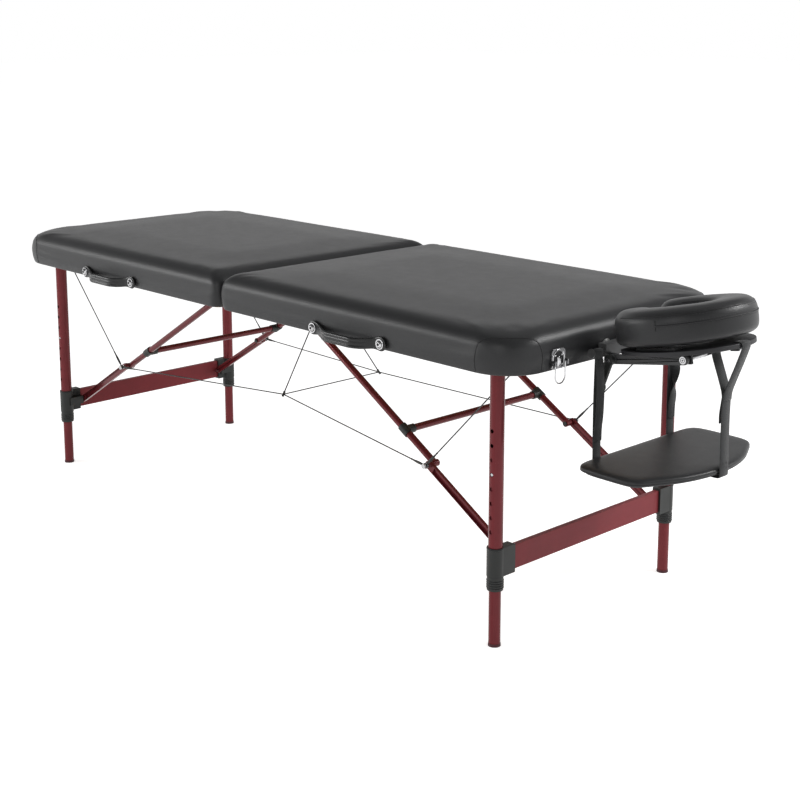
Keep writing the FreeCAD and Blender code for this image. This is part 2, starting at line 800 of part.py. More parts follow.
def build_latches():
    y_low, y_high = "latch_offset - latch_width / 2", "latch_offset + latch_width / 2"
    ears = []
    for tag, low in (("in", y_low), ("out", y_high + " - plate_thickness")):
        ears.append(span("latch_ear_" + tag, ("latch_x", "bail_x + bail_radius + plate_thickness"),
                         (low, low + " + plate_thickness"),
                         ("latch_z - latch_ear_height / 2", "latch_z + latch_ear_height / 2")))
    bore = cross_rod("latch_bore", "bail_radius + fit", y_low + " - plate_thickness",
                     y_high + " + plate_thickness", "bail_x", "latch_z")
    blank = fuse("latch_blank", latch_form(), *ears)
    node("latch_plates", pair("latch_plates", cut("latch_plate", blank, bore)))

    bail = bail_form()
    node("latch_bail_far", bail)
    node("latch_bail_near", across("latch_bail_near", bail))

    back = span("keeper_back", ("-latch_x - plate_thickness", "-latch_x"), (y_low, y_high),
                ("latch_z - keeper_height / 3", "latch_z + keeper_height * 2 / 3"))
    hook_y = ("latch_offset - keeper_hook_width / 2", "latch_offset + keeper_hook_width / 2")
    hook_x = "-latch_x - plate_thickness - keeper_reach"
    hook_z = "latch_z + keeper_lip_rise"
    lip = span("keeper_lip", (hook_x, "-latch_x"), hook_y, (hook_z, hook_z + " + plate_thickness"))
    hook = span("keeper_hook", (hook_x, hook_x + " + keeper_reach / 2"), hook_y,
                (hook_z, hook_z + " + keeper_hook_height"))
    node("latch_keepers", pair("latch_keepers", fuse("keeper", back, lip, hook)))


# Legs


def outer_leg():
    """Outer tube with its pivot bore, adjusting holes and the groove that the button runs in."""
    tube = rod("leg_tube", "tube_radius", "tube_top - tube_low", ("leg_x", "leg_y", "tube_low"))
    hollow = rod("leg_hollow", "tube_radius - tube_wall", "tube_top - tube_low + 2 * tube_wall",
                 ("leg_x", "leg_y", "tube_low - tube_wall"))
    pivot = cross_rod("leg_pivot", "leg_bolt_radius + fit", "leg_y - 2 * tube_radius",
                      "leg_y + 2 * tube_radius", "leg_x", "pivot_z")
    groove = span("leg_groove", ("leg_x - hole_radius - soft_gap", "leg_x + hole_radius + soft_gap"),
                  ("leg_y", "leg_y + tube_radius - tube_wall + channel_depth"),
                  ("tube_low - tube_wall", "button_height + (holes_above + 2 / 3) * hole_pitch"))
    holes = []
    for step in range(-int(val("holes_below")), int(val("holes_above")) + 1):
        holes.append(cross_rod("leg_hole_%d" % (step + val("holes_below")), "hole_radius", "leg_y",
                               "leg_y + 2 * tube_radius", "leg_x", "button_height + %d * hole_pitch" % step))
    return cut("outer_leg", tube, hollow, pivot, groove, *holes)


def leg_sleeve():
    """Moulded joint that clasps the tube, takes the crossbar's end and carries the brace pivot."""
    ring = rod("sleeve_ring", "sleeve_radius", "sleeve_height", ("leg_x", "leg_y", "sleeve_low"))
    boss = span("sleeve_boss", ("crossbar_x - socket_wall",
                                "crossbar_x + crossbar_thickness + socket_wall"),
                ("lower_out + bolt_head", "leg_y"), ("sleeve_low", "sleeve_low + sleeve_height"))
    lug = span("sleeve_lug", ("lug_x - lower_width / 2", "leg_x"), ("lower_out + bolt_head", "leg_y"),
               ("brace_lug_height - lower_width * 0.6", "brace_lug_height + lower_width * 0.6"))
    bore = rod("sleeve_bore", "tube_radius + fit", "sleeve_height + 2 * socket_wall",
               ("leg_x", "leg_y", "sleeve_low - socket_wall"))
    slot = span("sleeve_slot", ("crossbar_x - fit", "crossbar_x + crossbar_thickness + fit"),
                ("lower_out", "crossbar_half + fit"),
                ("crossbar_low - fit", "crossbar_low + crossbar_height + fit"))
    pin = cross_rod("sleeve_pin", "brace_bolt_radius + fit", "lower_in",
                    "lower_out + socket_depth", "lug_x", "brace_lug_height")
    return cut("sleeve", fuse("sleeve_blank", ring, boss, lug), bore, slot, pin)


def leg_collar():
    """Ring that caps the lower end of the outer tube and guides the extension."""
    ring = rod("collar_ring", "collar_radius", "sleeve_low - collar_low", ("leg_x", "leg_y", "collar_low"))
    seat_bore = rod("collar_seat", "tube_radius + fit", "sleeve_low - tube_low + socket_wall",
                    ("leg_x", "leg_y", "tube_low"))
    guide = rod("collar_guide", "inner_radius + 2 * fit", "sleeve_low - collar_low",
                ("leg_x", "leg_y", "collar_low - socket_wall"))
    return cut("collar", ring, seat_bore, guide)


def inner_leg():
    """Extension tube that carries the spring button."""
    tube = rod("inner_tube", "inner_radius", "inner_top - foot_sole", ("leg_x", "leg_y", "foot_sole"))
    hollow = rod("inner_hollow", "inner_radius - inner_wall", "inner_top - foot_sole + 2 * inner_wall",
                 ("leg_x", "leg_y", "foot_sole - inner_wall"))
    hole = cross_rod("inner_hole", "button_radius + fit", "leg_y", "leg_y + 2 * tube_radius",
                     "leg_x", "button_height")
    return cut("inner_leg", tube, hollow, hole)


def foot_tip():
    """Rubber plug in the end of the tube, with a sole that flares a little to the floor."""
    sole = doc.addObject("Part::Cone", "tip_sole")
    sole.setExpression("Radius1", bound("foot_radius + foot_flare"))
    sole.setExpression("Radius2", bound("foot_radius"))
    sole.setExpression("Height", bound("foot_sole"))
    seat(sole, ("leg_x", "leg_y", "0"))
    plug = rod("tip_plug", "inner_radius - inner_wall - fit", "foot_height - foot_sole / 2",
               ("leg_x", "leg_y", "foot_sole / 2"))
    return fuse("foot_tip", sole, plug)


def leg_button():
    """Domed stud with a flange that keeps it inside the extension tube."""
    tip = "leg_y + tube_radius - tube_wall + channel_depth - 2 * fit"
    tail = "leg_y + inner_radius - button_tail"
    shank = cross_rod("button_shank", "button_radius", tail, tip + " - button_dome", "leg_x", "button_height")
    dome = doc.addObject("Part::Cone", "button_dome")
    dome.setExpression("Radius1", bound("button_radius"))
    dome.setExpression("Radius2", bound("button_radius * 0.7"))
    dome.setExpression("Height", bound("button_dome"))
    dome.Placement = Placement(Vector(), ALONG["Y"])
    seat(dome, ("leg_x", tip + " - button_dome", "button_height"))
    flange = cross_rod("button_flange", "button_radius + inner_wall", tail, tail + " + inner_wall",
                       "leg_x", "button_height")
    return fuse("button", shank, dome, flange)


def four_legs(label, far_head):
    """One node for each of the four legs, from the piece of the far leg at the head."""
    node("head_%s_far" % label, far_head)
    near_head = node("head_%s_near" % label, across("head_%s_near" % label, far_head))
    for tag, source in (("far", far_head), ("near", near_head)):
        node("foot_%s_%s" % (label, tag), mirrored("foot_%s_%s" % (label, tag), source, Vector(1, 0, 0)))


def build_legs():
    both_halves("outer_legs", pair("outer_legs", outer_leg()))
    both_halves("leg_fittings", group("leg_fittings", pair("sleeves", leg_sleeve()),
                                      pair("collars", leg_collar())))
    both_halves("leg_crossbar", span("leg_crossbar", ("crossbar_x", "crossbar_x + crossbar_thickness"),
                                     ("-crossbar_half", "crossbar_half"),
                                     ("crossbar_low", "crossbar_low + crossbar_height")))
    four_legs("inner_leg", inner_leg())
    four_legs("foot_tip", foot_tip())
    four_legs("button", leg_button())


# Braces


def upper_brace():
    """Round arm from the clevis near the split down to the knee."""
    arm = turn_about_y(rod("upper_arm", "brace_radius", "upper_length", ("0", "0", "0")),
                       "90 deg + brace_angle")
    seat(arm, ("brace_pivot_x", "brace_offset", "brace_z"))
    ends = []
    bores = []
    for tag, x, z in (("board", "brace_pivot_x", "brace_z"), ("knee", "knee_x", "knee_z")):
        ends.append(cross_rod("upper_eye_" + tag, "brace_radius", "brace_offset - brace_radius",
                              "brace_offset + brace_radius", x, z))
        bores.append(cross_rod("upper_bore_" + tag, "brace_bolt_radius + fit",
                               "brace_offset - 2 * brace_radius", "brace_offset + 2 * brace_radius", x, z))
    return cut("upper_brace", fuse("upper_blank", arm, *ends), *bores)


def lower_brace():
    """Channel strip with rounded ends from the knee down to the leg."""
    y_span = ("lower_in", "lower_out")
    angle = "-brace_angle"
    knee = ("knee_x", "knee_z")
    strip = leaning_box("lower_strip", knee, angle, ("0", "lower_length"), y_span,
                        ("-lower_width / 2", "lower_width / 2"))
    groove = leaning_box("lower_groove", knee, angle, ("lower_width", "lower_length - lower_width"),
                         ("lower_in + lower_wall", "lower_out + lower_wall"),
                         ("lower_wall - lower_width / 2", "lower_width / 2 - lower_wall"))
    ends = []
    bores = []
    for tag, x, z in (("knee", "knee_x", "knee_z"), ("leg", "lug_x", "brace_lug_height")):
        ends.append(cross_rod("lower_eye_" + tag, "lower_width / 2", y_span[0], y_span[1], x, z))
        bores.append(cross_rod("lower_bore_" + tag, "brace_bolt_radius + fit", "lower_in - lower_wall",
                               "lower_out + lower_wall", x, z))
    return cut("lower_brace", fuse("lower_blank", strip, *ends), groove, *bores)


def brace_clamp():
    """Moulded clasp round the upper arm with a stub socket for the cross tube."""
    ring = turn_about_y(rod("clamp_ring", "clamp_radius", "clamp_length", ("0", "0", "0")),
                        "90 deg + brace_angle")
    half = "clamp_length / 2"
    seat(ring, ("clamp_x - %s * brace_cos" % half, "brace_offset", "clamp_z + %s * brace_sin" % half))
    stub = cross_rod("clamp_stub", "clamp_stub_radius", "brace_offset - clamp_stub", "brace_offset",
                     "clamp_x", "clamp_z")
    arm = turn_about_y(rod("clamp_bore", "brace_radius + fit", "upper_length", ("0", "0", "0")),
                       "90 deg + brace_angle")
    seat(arm, ("brace_pivot_x", "brace_offset", "brace_z"))
    socket = cross_rod("clamp_socket", "brace_radius + fit", "brace_offset - 2 * clamp_stub",
                       "brace_offset - clamp_radius", "clamp_x", "clamp_z")
    return cut("clamp", fuse("clamp_blank", ring, stub), arm, socket)


def build_braces():
    cross_tube = cross_rod("brace_cross_tube", "brace_radius", "clamp_radius + fit - brace_offset",
                           "brace_offset - clamp_radius - fit", "clamp_x", "clamp_z")
    both_halves("upper_braces", group("upper_braces", pair("upper_arms", upper_brace()), cross_tube))
    upper_pin = fuse("upper_pin",
                     cross_rod("upper_pin_shank", "brace_bolt_radius", "brace_offset - brace_radius",
                               "brace_offset + brace_radius + 2 * pivot_play", "knee_x", "knee_z"),
                     cross_rod("upper_pin_head", "pin_head_radius",
                               "brace_offset - brace_radius - bolt_head", "brace_offset - brace_radius",
                               "knee_x", "knee_z"))
    both_halves("brace_clamps", group("brace_clamps", pair("clamps", brace_clamp()),
                                      pair("upper_pins", upper_pin)))
    both_halves("lower_braces", pair("lower_braces", lower_brace()))
    knee_pin = fuse("knee_pin",
                    cross_rod("knee_pin_shank", "brace_bolt_radius", "lower_in", "knee_pin_end",
                              "knee_x", "knee_z"),
                    cross_rod("knee_pin_head", "pin_head_radius", "knee_pin_end",
                              "knee_pin_end + bolt_head", "knee_x", "knee_z"),
                    cross_rod("knee_pin_nut", "pin_head_radius", "lower_out",
                              "lower_out + bolt_head", "knee_x", "knee_z"))
    leg_pin = fuse("leg_pin",
                   cross_rod("leg_pin_shank", "brace_bolt_radius", "lower_in",
                             "lower_out + socket_depth", "lug_x", "brace_lug_height"),
                   cross_rod("leg_pin_head", "pin_head_radius", "lower_in - bolt_head",
                             "lower_in", "lug_x", "brace_lug_height"))
    both_halves("brace_pins", group("brace_pins", pair("knee_pins", knee_pin), pair("leg_pins", leg_pin)))


# Stay cables


def strand(start, end, start_gap=0.0, end_gap=0.0):
    """Straight length of cable between two points, stopped short by a gap at each end."""
    run = end - start
    way = Vector(run).normalize()
    first = start + way * start_gap
    return Part.makeCylinder(val("cable_radius"), run.Length - start_gap - end_gap, first, way)


def both_sides(shape):
    return [shape, shape.mirror(Vector(), Vector(0, 1, 0))]


def build_cables():
    pin_gap = val("brace_bolt_radius") + val("soft_gap") + val("cable_radius")
    crimp = val("crimp_radius") + val("soft_gap")
    line_y = val("cable_y")
    knee = Vector(val("knee_x"), line_y, val("knee_z"))
    anchor = Vector(val("cable_anchor_x"), line_y, val("deck_low") - val("cable_tab_depth"))
    middle = Vector(0, val("cable_node_y"), val("cable_node_z"))
    eye = Vector(val("centre_eye_x"), 0, val("underside_height") - val("centre_eye_drop") / 2)
    stay = Vector(anchor - knee).normalize()
    stay_gap = (val("soft_gap") + val("cable_radius") * stay.x) / stay.z
    rise = Vector(eye - middle).normalize()
    eye_gap = (val("cable_tab_thickness") / 2 + val("soft_gap") + val("cable_radius") * rise.z) / -rise.y
    shapes = both_sides(strand(knee, anchor, pin_gap, stay_gap))
    shapes += both_sides(strand(knee, middle, pin_gap, crimp))
    half = doc.addObject("Part::Feature", "half_cables")
    half.Shape = Part.makeCompound(shapes)
    both_halves("cables", half)

    crimps = both_sides(Part.makeSphere(val("crimp_radius"), middle))
    far_middle = Vector(middle.x, -middle.y, middle.z)
    web = crimps[0].fuse([crimps[1], strand(middle, far_middle), strand(middle, eye, 0, eye_gap),
                          strand(far_middle, eye, 0, eye_gap)])
    centre = doc.addObject("Part::Feature", "centre_web")
    centre.Shape = web
    node("center_cable", centre)


# Headrest


def arm_bar(name, y_span):
    """Flat arm with round ends between the two tilt axes, bored at both."""
    bar = leaning_box(name + "_bar", ("tilt_x", "tilt_z"), "arm_angle", ("0", "arm_length"), y_span,
                      ("-arm_height / 2", "arm_height / 2"))
    ends = []
    bores = []
    for tag, x, z, hole in (("tilt", "tilt_x", "tilt_z", "brace_bolt_radius + fit"),
                            ("axle", "axle_x", "axle_z", "axle_radius + fit")):
        ends.append(cross_rod("%s_%s" % (name, tag), "arm_height / 2", y_span[0], y_span[1], x, z))
        bores.append(cross_rod("%s_%s_bore" % (name, tag), hole, y_span[0] + " - arm_thickness",
                               y_span[1] + " + arm_thickness", x, z))
    return cut(name, fuse(name + "_blank", bar, *ends), *bores)


def build_headrest_base():
    socket = fuse("socket_blank",
                  rod("socket_tube", "socket_radius", "socket_length + soft_gap + plate_thickness",
                      ("half_length - socket_length", "post_offset", "post_z"), "X"),
                  rod("socket_rim", "socket_radius + socket_flange", "plate_thickness",
                      ("half_length + soft_gap", "post_offset", "post_z"), "X"))
    bore = rod("socket_bore", "post_radius + fit", "2 * socket_length",
               ("half_length - 1.5 * socket_length", "post_offset", "post_z"), "X")
    node("headrest_sockets", pair("headrest_sockets", cut("socket", socket, bore)))

    post = rod("post", "post_radius", "post_length", ("base_x - post_length", "post_offset", "post_z"), "X")
    block = span("base_block", ("base_x - base_width", "base_x"), ("-base_half", "base_half"),
                 ("post_z - base_height / 2", "post_z + base_height / 2"))
    pieces = [block, post, across("post_far", post)]
    for tag, low, high in (("in", "lug_in", "arm_in - 2 * pivot_play"), ("out", "lug_out", "base_half")):
        arm = span("lug_%s_arm" % tag, ("base_x - lug_thickness", "tilt_x"), (low, high),
                   ("tilt_z - arm_height / 2", "tilt_z + arm_height / 2"))
        disc = cross_rod("lug_%s_disc" % tag, "arm_height / 2", low, high, "tilt_x", "tilt_z")
        pieces += [arm, disc, across("lug_%s_arm_far" % tag, arm), across("lug_%s_disc_far" % tag, disc)]
    bore = cross_rod("lug_bore", "brace_bolt_radius + fit", "-base_half - lug_thickness",
                     "base_half + lug_thickness", "tilt_x", "tilt_z")
    bar_end = "strap_out + 2 * pivot_play"
    bar = cross_rod("strap_bar", "strap_bar_radius", "base_half - lug_thickness", bar_end, "bar_x", "post_z")
    stop = cross_rod("strap_stop", "strap_bar_radius * 1.8", bar_end, bar_end + " + plate_thickness",
                     "bar_x", "post_z")
    pieces += [bar, stop, across("strap_bar_far", bar), across("strap_stop_far", stop)]
    node("headrest_base", cut("headrest_base", fuse("base_blank", *pieces), bore))

    bolt_far = fuse("tilt_bolt_far",
                    cross_rod("tilt_shank", "brace_bolt_radius", "lug_in", "base_half", "tilt_x", "tilt_z"),
                    cross_rod("tilt_head_in", "pin_head_radius", "lug_in - bolt_head", "lug_in",
                              "tilt_x", "tilt_z"),
                    cross_rod("tilt_head_out", "pin_head_radius", "base_half",
                              "base_half + bolt_head", "tilt_x", "tilt_z"))
    clamp_face = "-lever_in - lever_thickness - pivot_play"
    bolt_near = fuse("tilt_bolt_near",
                     cross_rod("clamp_shank", "brace_bolt_radius", clamp_face, "-lug_in", "tilt_x", "tilt_z"),
                     cross_rod("clamp_nut", "pin_head_radius", "-lug_in", "bolt_head - lug_in",
                               "tilt_x", "tilt_z"),
                     cross_rod("clamp_cap", "pin_head_radius",
                               clamp_face + " - bolt_head", clamp_face, "tilt_x", "tilt_z"))
    node("headrest_tilt_bolts", group("headrest_tilt_bolts", bolt_far, bolt_near))

    end_x, end_z = "tilt_x - lever_back", "tilt_z - lever_fall"
    y_span = ("-lever_in - lever_thickness", "-lever_in")
    hub = cross_rod("lever_hub", "lever_hub_radius", y_span[0], y_span[1], "tilt_x", "tilt_z")
    tip = cross_rod("lever_tip", "lever_end_radius", y_span[0], y_span[1], end_x, end_z)
    blade = leaning_box("lever_blade", ("tilt_x", "tilt_z"), "180 deg + atan2(lever_fall; lever_back)",
                        ("0", "hypot(lever_back; lever_fall)"), y_span,
                        ("-lever_hub_radius * 0.75", "lever_hub_radius * 0.75"))
    hole = cross_rod("lever_hole", "brace_bolt_radius + fit", y_span[0] + " - lever_thickness",
                     y_span[1] + " + lever_thickness", "tilt_x", "tilt_z")
    node("tilt_lever", cut("tilt_lever", fuse("lever_blank", hub, tip, blade), hole))


def horseshoe(inset, height):
    """Level outline of the face cushion: a thick arc with round ends, open towards the table."""
    outer = val("cushion_radius") - inset
    inner = val("face_radius") + inset
    ring = (val("cushion_radius") + val("face_radius")) / 2
    cap = (outer - inner) / 2
    centre = -val("cradle_setback")
    open_angle = 180 - val("cushion_mouth_angle")

    def at(radius, angle):
        turn = math.radians(angle)
        return Vector(centre + radius * math.cos(turn), radius * math.sin(turn), height)

    def cap_at(side, angle):
        turn = math.radians(side * open_angle + side * angle)
        return at(ring, side * open_angle) + Vector(cap * math.cos(turn), cap * math.sin(turn), 0)

    edges = []
    for low, high in ((-open_angle, 0), (0, open_angle)):
        edges.append(Part.Arc(at(outer, low), at(outer, (low + high) / 2), at(outer, high)).toShape())
    for low, high in ((0, 90), (90, 180)):
        edges.append(Part.Arc(cap_at(1, low), cap_at(1, (low + high) / 2), cap_at(1, high)).toShape())
    for low, high in ((open_angle, 0), (0, -open_angle)):
        edges.append(Part.Arc(at(inner, low), at(inner, (low + high) / 2), at(inner, high)).toShape())
    for low, high in ((180, 90), (90, 0)):
        edges.append(Part.Arc(cap_at(-1, low), cap_at(-1, (low + high) / 2), cap_at(-1, high)).toShape())
    return Part.Wire(edges)


def cradle_frame():
    """Placement of the leaning frame whose origin is the middle of the outer tilt axis."""
    return Placement(Vector(val("axle_x"), 0, val("axle_z")),
                     Rotation(Vector(0, 1, 0), -val("arm_angle")))


def cushion_form():
    """Face cushion with tucked lower edges, straight walls and a broad round over the top."""
    low, top = val("cushion_low"), val("cushion_low") + val("cushion_height")
    turn_radius = val("cushion_round")
    tuck = turn_radius / 2
    levels = [(low, tuck * 0.9), (low + tuck * 0.35, tuck * 0.25), (low + tuck, 0.0)]
    for angle in (0, 25, 48, 68, 84):
        turn = math.radians(angle)
        levels.append((top - turn_radius * (1 - math.sin(turn)), turn_radius * (1 - math.cos(turn))))
    form = doc.addObject("Part::Feature", "cushion_form")
    form.Shape = Part.makeLoft([horseshoe(inset, z) for z, inset in levels], True, True)
    form.Placement = cradle_frame()
    return form


def build_headrest_top():
    axle = ("axle_x", "axle_z")
    far_arm = arm_bar("arm_far", ("arm_in", "arm_out"))
    node("headrest_arms", group("headrest_arms", far_arm, across("arm_near", far_arm)))
    shank = cross_rod("axle_shank", "axle_radius", "-arm_out", "arm_out", *axle)
    cap = cross_rod("axle_cap", "axle_radius * 1.5", "arm_out", "arm_out + bolt_head", *axle)
    node("headrest_axle", fuse("headrest_axle", shank, cap, across("axle_cap_near", cap)))

    plate_span = ("cradle_low", "cradle_top")
    through = ("cradle_low - cradle_thickness", "cradle_top + cradle_thickness")
    disc = leaning_disc("cradle_disc", axle, "arm_angle", "cradle_radius", "-cradle_setback", plate_span)
    face = leaning_disc("cradle_face", axle, "arm_angle", "face_radius", "-cradle_setback", through)
    mouth = leaning_box("cradle_slot", axle, "arm_angle", ("-2 * cradle_radius", "-cradle_setback"),
                        ("-cradle_mouth", "cradle_mouth"), through)
    trim = leaning_box("cradle_trim", axle, "arm_angle", ("-2 * cradle_radius", "-cradle_end"),
                       ("-2 * cradle_radius", "2 * cradle_radius"), through)
    board = cut("cradle_board", disc, face, mouth, trim)
    lugs = []
    bores = [cross_rod("cradle_bore", "axle_radius + fit", "-arm_offset", "arm_offset", *axle)]
    for tag, y_span in (("near", ("-lug_in", "lug_thickness - lug_in")),
                        ("far", ("lug_in - lug_thickness", "lug_in"))):
        lugs.append(leaning_box("cradle_lug_" + tag, axle, "arm_angle", ("-arm_height / 2", "arm_height / 2"),
                                y_span, ("-arm_height / 2", "cradle_low + cradle_thickness / 2")))
    node("headrest_platform", cut("headrest_platform", fuse("cradle_blank", board, *lugs), *bores))
    strips = []
    ring = "(cradle_radius + face_radius) / 2"
    strip_u = ("-cradle_setback - strip_length / 2", "-cradle_setback + strip_length / 2")
    for tag, sign in (("near", "-"), ("far", "")):
        strip_y = ("%s%s - strip_width / 2" % (sign, ring), "%s%s + strip_width / 2" % (sign, ring))
        strips.append(leaning_box("strip_" + tag, axle, "arm_angle", strip_u, strip_y,
                                  ("cradle_top", "cradle_top + strip_thickness")))
    node("cushion_strips", group("cushion_strips", *strips))
    node("headrest_cushion", cushion_form())


# Arm shelf and its straps


def shelf_form():
    """Padded board with a straight inner edge, rounded corners and a bowed outer edge."""
    x0, half, radius = val("shelf_x"), val("shelf_half_width"), val("shelf_corner_radius")
    corner_x, front = val("half_length") + val("shelf_corner_reach"), val("shelf_front")
    z = val("shelf_low")
    lean = radius * math.sqrt(0.5)

    def at(x, y):
        return Vector(x, y, z)

    def corner(x, y, turn):
        return at(x + math.copysign(radius - lean, turn), y + math.copysign(radius - lean, -y))

    edges = [
        Part.LineSegment(at(x0, radius - half), at(x0, half - radius)).toShape(),
        Part.Arc(at(x0, half - radius), corner(x0, half, 1), at(x0 + radius, half)).toShape(),
        Part.LineSegment(at(x0 + radius, half), at(corner_x - radius, half)).toShape(),
        Part.Arc(at(corner_x - radius, half), corner(corner_x, half, -1),
                 at(corner_x, half - radius)).toShape(),
        Part.Arc(at(corner_x, half - radius), at(front, 0), at(corner_x, radius - half)).toShape(),
        Part.Arc(at(corner_x, radius - half), corner(corner_x, -half, -1),
                 at(corner_x - radius, -half)).toShape(),
        Part.LineSegment(at(corner_x - radius, -half), at(x0 + radius, -half)).toShape(),
        Part.Arc(at(x0 + radius, -half), corner(x0, -half, 1), at(x0, radius - half)).toShape(),
    ]
    board = Part.Face(Part.Wire(edges)).extrude(Vector(0, 0, val("shelf_thickness")))
    rim = [edge for edge in board.Edges if edge.BoundBox.ZLength < 0.001]
    form = doc.addObject("Part::Feature", "shelf_form")
    form.Shape = board.makeFillet(val("shelf_thickness") * 0.35, rim)
    return form


def sling(name):
    """Strap sewn round its bar, hanging down the shelf's inner edge and turned in under the shelf."""
    y_span = ("strap_in", "strap_out")
    loop = cut(name + "_loop",
               cross_rod(name + "_loop_out", "strap_bar_radius + soft_gap + strap_thickness",
                         y_span[0], y_span[1], "bar_x", "post_z"),
               cross_rod(name + "_loop_in", "strap_bar_radius + soft_gap", "strap_in - strap_thickness",
                         "strap_out + strap_thickness", "bar_x", "post_z"))
    fall = span(name + "_fall", ("strap_x", "strap_x + strap_thickness"), y_span,
                ("shelf_low - soft_gap - strap_thickness", "post_z"))
    flap = span(name + "_flap", ("strap_x", "shelf_x + strap_flap"), y_span,
                ("shelf_low - soft_gap - strap_thickness", "shelf_low - soft_gap"))
    return fuse(name, loop, fall, flap)


def fork_form():
    """Front strap: turned in under the shelf, up to a fork, one tail to the cradle's underside
    and one over its front edge."""
    half, thick, gap = val("strap_width") / 2, val("strap_thickness"), val("soft_gap")
    low, x0 = val("shelf_low") - gap, val("front_strap_x")
    frame = cradle_frame()
    front = val("cradle_radius") - val("cradle_setback") + gap
    under = frame.multVec(Vector(val("arm_height") / 2, 0, val("cradle_low") - gap - thick / 2))
    lip = frame.multVec(Vector(front, 0, val("cradle_low")))
    over = frame.multVec(Vector(front, 0, val("cradle_top") + gap))
    tail = frame.multVec(Vector(front - val("strap_flap") / 2, 0, val("cradle_top") + gap))
    fork = Vector(x0, 0, val("strap_fork_height"))

    def tape(start, end, side):
        """Flat run of webbing whose given side leads away from the line from start to end."""
        way = (end - start).normalize()
        off = Vector(way.z, 0, -way.x) * thick * side
        corners = [start, end, end + off, start + off, start]
        face = Part.Face(Part.makePolygon([p - Vector(0, half, 0) for p in corners]))
        return face.extrude(Vector(0, 2 * half, 0))

    runs = [
        tape(Vector(x0 - val("strap_flap"), 0, low), Vector(x0 + thick, 0, low), 1),
        tape(Vector(x0, 0, low - thick), fork, 1),
        tape(fork, under, 1),
        tape(fork, lip + (lip - fork).normalize() * thick, 1),
        tape(lip, over + (over - lip).normalize() * thick, 1),
        tape(tail, over, -1),
    ]
    form = doc.addObject("Part::Feature", "fork_form")
    form.Shape = runs[0].fuse(runs[1:]).removeSplitter()
    return form


def build_shelf():
    node("arm_shelf", shelf_form())
    node("shelf_straps", pair("shelf_straps", sling("sling")))
    node("front_strap", fork_form())


def write_nodes():
    """Stop on any failed object, then write one file for each sub-part."""
    doc.recompute()
    for obj in doc.Objects:
        failed = [state for state in obj.State if state in ("Invalid", "Error")]
        if failed:
            raise RuntimeError("%s did not build: %s" % (obj.Label, failed))
    for obj in nodes:
        if obj.Shape.isNull() or not obj.Shape.isValid() or not obj.Shape.Solids:
            raise RuntimeError("%s has no valid solid" % obj.Label)
    os.makedirs("parts", exist_ok=True)
    for obj in nodes:
        obj.Shape.exportStep("parts/%s.step" % obj.Label)
        print(obj.Label, len(obj.Shape.Solids), "solids", round(obj.Shape.Volume / 1000, 2), "cm3")


build_top()
build_hinges()
build_brackets(build_handles())
build_latches()
build_legs()
build_braces()
build_cables()
build_headrest_base()
build_headrest_top()
build_shelf()
write_nodes()
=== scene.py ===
import json
import math
import bmesh
import bpy
from mathutils import Matrix, Vector, noise
from mathutils.bvhtree import BVHTree


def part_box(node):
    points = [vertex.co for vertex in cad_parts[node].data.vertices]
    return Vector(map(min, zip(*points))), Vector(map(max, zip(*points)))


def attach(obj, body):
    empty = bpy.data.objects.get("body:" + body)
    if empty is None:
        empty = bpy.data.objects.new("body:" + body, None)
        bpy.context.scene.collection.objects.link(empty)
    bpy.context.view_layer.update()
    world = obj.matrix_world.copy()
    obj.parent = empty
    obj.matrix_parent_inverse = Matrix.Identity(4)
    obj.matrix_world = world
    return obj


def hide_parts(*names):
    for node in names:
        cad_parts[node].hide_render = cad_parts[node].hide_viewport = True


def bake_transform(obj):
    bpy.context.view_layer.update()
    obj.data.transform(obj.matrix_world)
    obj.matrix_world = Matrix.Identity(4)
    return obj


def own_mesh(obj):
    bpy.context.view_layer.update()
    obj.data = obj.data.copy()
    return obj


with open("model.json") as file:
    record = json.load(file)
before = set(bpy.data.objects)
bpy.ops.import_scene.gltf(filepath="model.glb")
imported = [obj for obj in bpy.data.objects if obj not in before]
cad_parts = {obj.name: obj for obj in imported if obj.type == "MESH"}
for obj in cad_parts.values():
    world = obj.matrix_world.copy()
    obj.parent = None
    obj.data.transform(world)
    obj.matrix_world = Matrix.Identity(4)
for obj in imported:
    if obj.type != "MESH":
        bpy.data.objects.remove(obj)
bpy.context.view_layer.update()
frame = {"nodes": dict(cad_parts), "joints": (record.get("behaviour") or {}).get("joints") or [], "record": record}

# Dressed model of the folding treatment table. Metres, in the frame of the solids:
# +X to the headrest, +Y to the back, +Z up, origin on the floor under the split.

MM = 0.001
SIDES = (-1, 1)
HALVES = {"head": 1, "foot": -1}


# Materials

# Numbers of the colour sockets on a Mix node
MIX_FIRST, MIX_SECOND, MIX_RESULT = 6, 7, 2


def put(tree, socket, value):
    """Set a socket, or link another one to it."""
    if isinstance(value, bpy.types.NodeSocket):
        tree.links.new(value, socket)
    else:
        socket.default_value = value


def add(tree, kind, *values, **named):
    """A new node with its first and its named sockets set or linked."""
    node = tree.nodes.new("ShaderNode" + kind)
    for socket, value in zip(node.inputs, values):
        put(tree, socket, value)
    for name, value in named.items():
        put(tree, node.inputs[name.replace("_", " ")], value)
    return node


def combine(tree, kind, first, second):
    node = add(tree, "Math", first, second)
    node.operation = kind
    return node.outputs[0]


def scaled(color, factor):
    return tuple(min(1.0, c * factor) for c in color)


